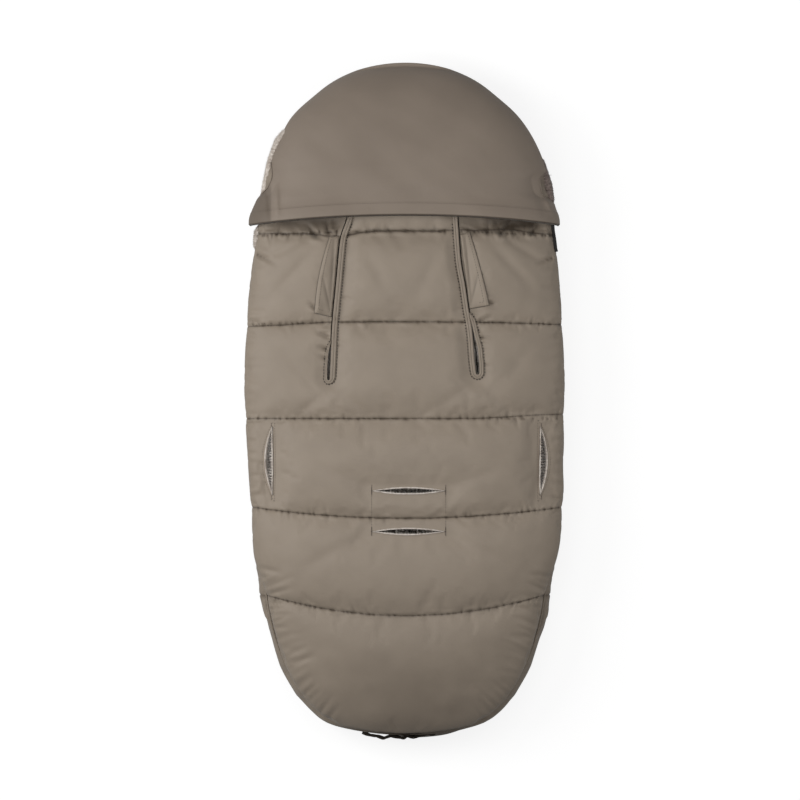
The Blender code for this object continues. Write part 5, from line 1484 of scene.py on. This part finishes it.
SLIDER_Y, PLATE_THICK, PLATE_IN = 0.190, 0.0012, 0.0016
ARCH_OUT = 0.0027
ZIP_X = HALF_WIDTH - RIM_IN
for way, side in ((-1, "left"), (1, "right")):
    centre = np.array([way * ZIP_X, SLIDER_Y, ZIP_Z])
    shield = rounded(SHIELD)
    pieces = [plate(f"shield_{k}", [shield], PLATE_THICK, 0.00025,
                    centre + [k * (PLATE_IN + PLATE_THICK / 2), 0, 0]) for k in (-1, 1)]
    pieces.append(rounded_block("bridge", (2 * PLATE_IN + 0.0004, 0.0042, 0.0008), 0.0003,
                                Vector(centre + [0, 0.0030, 0])))
    turn = np.linspace(0, math.pi, 17)
    face = PLATE_IN + PLATE_THICK
    arch_line = np.column_stack([way * (ZIP_X + face - 0.0004 + (ARCH_OUT + 0.0010) * np.sin(turn)),
                                 SLIDER_Y + 0.0036 * np.cos(turn), np.full(17, ZIP_Z)])
    direction = np.column_stack([way * np.sin(turn) * 0.0037, 0.0036 * np.cos(turn), 0 * turn])
    direction /= np.linalg.norm(direction, axis=1, keepdims=True)
    pieces.append(skin("arch", swept(arch_line, oval(0.0010, 0.0018, 10), direction), METAL,
                       ring=True))
    slider = joined(f"slider_body_{side}", pieces)
    hand_over(slider, f"slider_{side}", "zip_metal", f"zip_slider_{side}")

    # The pull hangs from the arch: a stamped tongue with an eye, a long window and
    # a thicker gripping end.
    axis_x = way * (ZIP_X + face + ARCH_OUT / 2)
    axis_y = SLIDER_Y - ARCH_OUT / 4
    tongue = rounded(((0.0008, -0.0026), (0.0008, 0.0026), (-0.0060, 0.0028), (-0.0100, 0.0034),
                      (-0.0240, 0.0040), (-0.0296, 0.0030), (-0.0296, -0.0030), (-0.0240, -0.0040),
                      (-0.0100, -0.0034), (-0.0060, -0.0028)))
    eye = rounded(((-0.0010, -0.0020), (-0.0064, -0.0020), (-0.0064, 0.0020), (-0.0010, 0.0020)),
                  share=0.2)
    window = rounded(((-0.0100, -0.0012), (-0.0180, -0.0015), (-0.0180, 0.0015), (-0.0100, 0.0012)))
    pieces = [plate("tongue", [tongue, eye, window], 0.0012, 0.0003,
                    np.array([axis_x, axis_y, ZIP_Z]))]
    for k in range(4):
        pieces.append(rounded_block(f"grip_{k}", (0.0016, 0.0007, 0.0052), 0.0003,
                                    (axis_x, axis_y - 0.0215 - 0.0018 * k, ZIP_Z)))
    pull = joined(f"pull_tongue_{side}", pieces)
    hand_over(pull, f"pull_{side}", "zip_metal", f"zip_pull_{side}")

# Studio: a white floor under an even sky, with three soft lights: a broad one from the
# left, a weaker one from the right and a small one above.  The camera looks straight
# down from far away, as in the photograph.
bpy.ops.mesh.primitive_plane_add(size=12)
floor = bpy.context.object
floor.name = "floor"
# Matt white, lit a little from itself round the footmuff for the camera alone.
white, tree, shader, place = start_material("floor_white", "#b8b8b8", 0.9, 0.0)
rays = add_node(tree, "LightPath", {})
glow = add_node(tree, "Emission", {"Color": (1, 1, 1, 1), "Strength": 1.68})
shrunk = add_node(tree, "VectorMath", {"operation": "MULTIPLY", 1: (1 / 0.19, 1 / 0.45, 0)},
                  [(0, place.outputs["Object"])])
far = add_node(tree, "VectorMath", {"operation": "LENGTH"}, [(0, shrunk)])
beside = add_node(tree, "MapRange", {"From Min": 0.95, "From Max": 1.05, "To Max": 0.50},
                  [("Value", far.outputs["Value"])])
share = add_node(tree, "Math", {"operation": "MULTIPLY"}, [(0, rays.outputs["Is Camera Ray"]), (1, beside)])
blend = add_node(tree, "MixShader", {}, [(0, share), (1, shader), (2, glow)])
tree.links.new(blend.outputs[0], tree.nodes["Material Output"].inputs["Surface"])
floor.data.materials.append(white)

world = bpy.data.worlds.new("studio")
world.use_nodes = True
bpy.context.scene.world = world
sky = world.node_tree.nodes["Background"]
sky.inputs["Color"].default_value = (1, 1, 1, 1)
sky.inputs["Strength"].default_value = 0.26

for place, aim, shape, size, energy in (
        ((-1.73, 0.38, 1.5), (0, 0, 0.1), "RECTANGLE", (1.2, 1.8), 36),
        ((1.6, 0.35, 1.3), (0, -0.1, 0.1), "DISK", (1.6, 1.6), 8),
        ((0, 0.02, 1.3), (0, 0.02, 0.1), "DISK", (0.6, 0.6), 3.5)):
    bpy.ops.object.light_add(type="AREA", location=place)
    light = bpy.context.object
    light.data.shape = shape
    light.data.size, light.data.size_y = size
    light.data.energy = energy
    light.rotation_euler = (Vector(aim) - Vector(place)).to_track_quat("-Z", "Y").to_euler()
# The small light hangs in the camera's way.
light.visible_camera = False

PIXEL, FRAME_PIXELS = 0.001475, 800
CAMERA_HEIGHT, SILHOUETTE_Z = 12.0, 0.10
camera_data = bpy.data.cameras.new("camera")
camera = bpy.data.objects.new("camera", camera_data)
bpy.context.collection.objects.link(camera)
camera.location = (-5.5 * PIXEL, 1.0 * PIXEL, CAMERA_HEIGHT)
camera_data.lens = camera_data.sensor_width * (CAMERA_HEIGHT - SILHOUETTE_Z) / (FRAME_PIXELS * PIXEL)
bpy.context.scene.camera = camera
bpy.context.scene.view_settings.view_transform = "Standard"
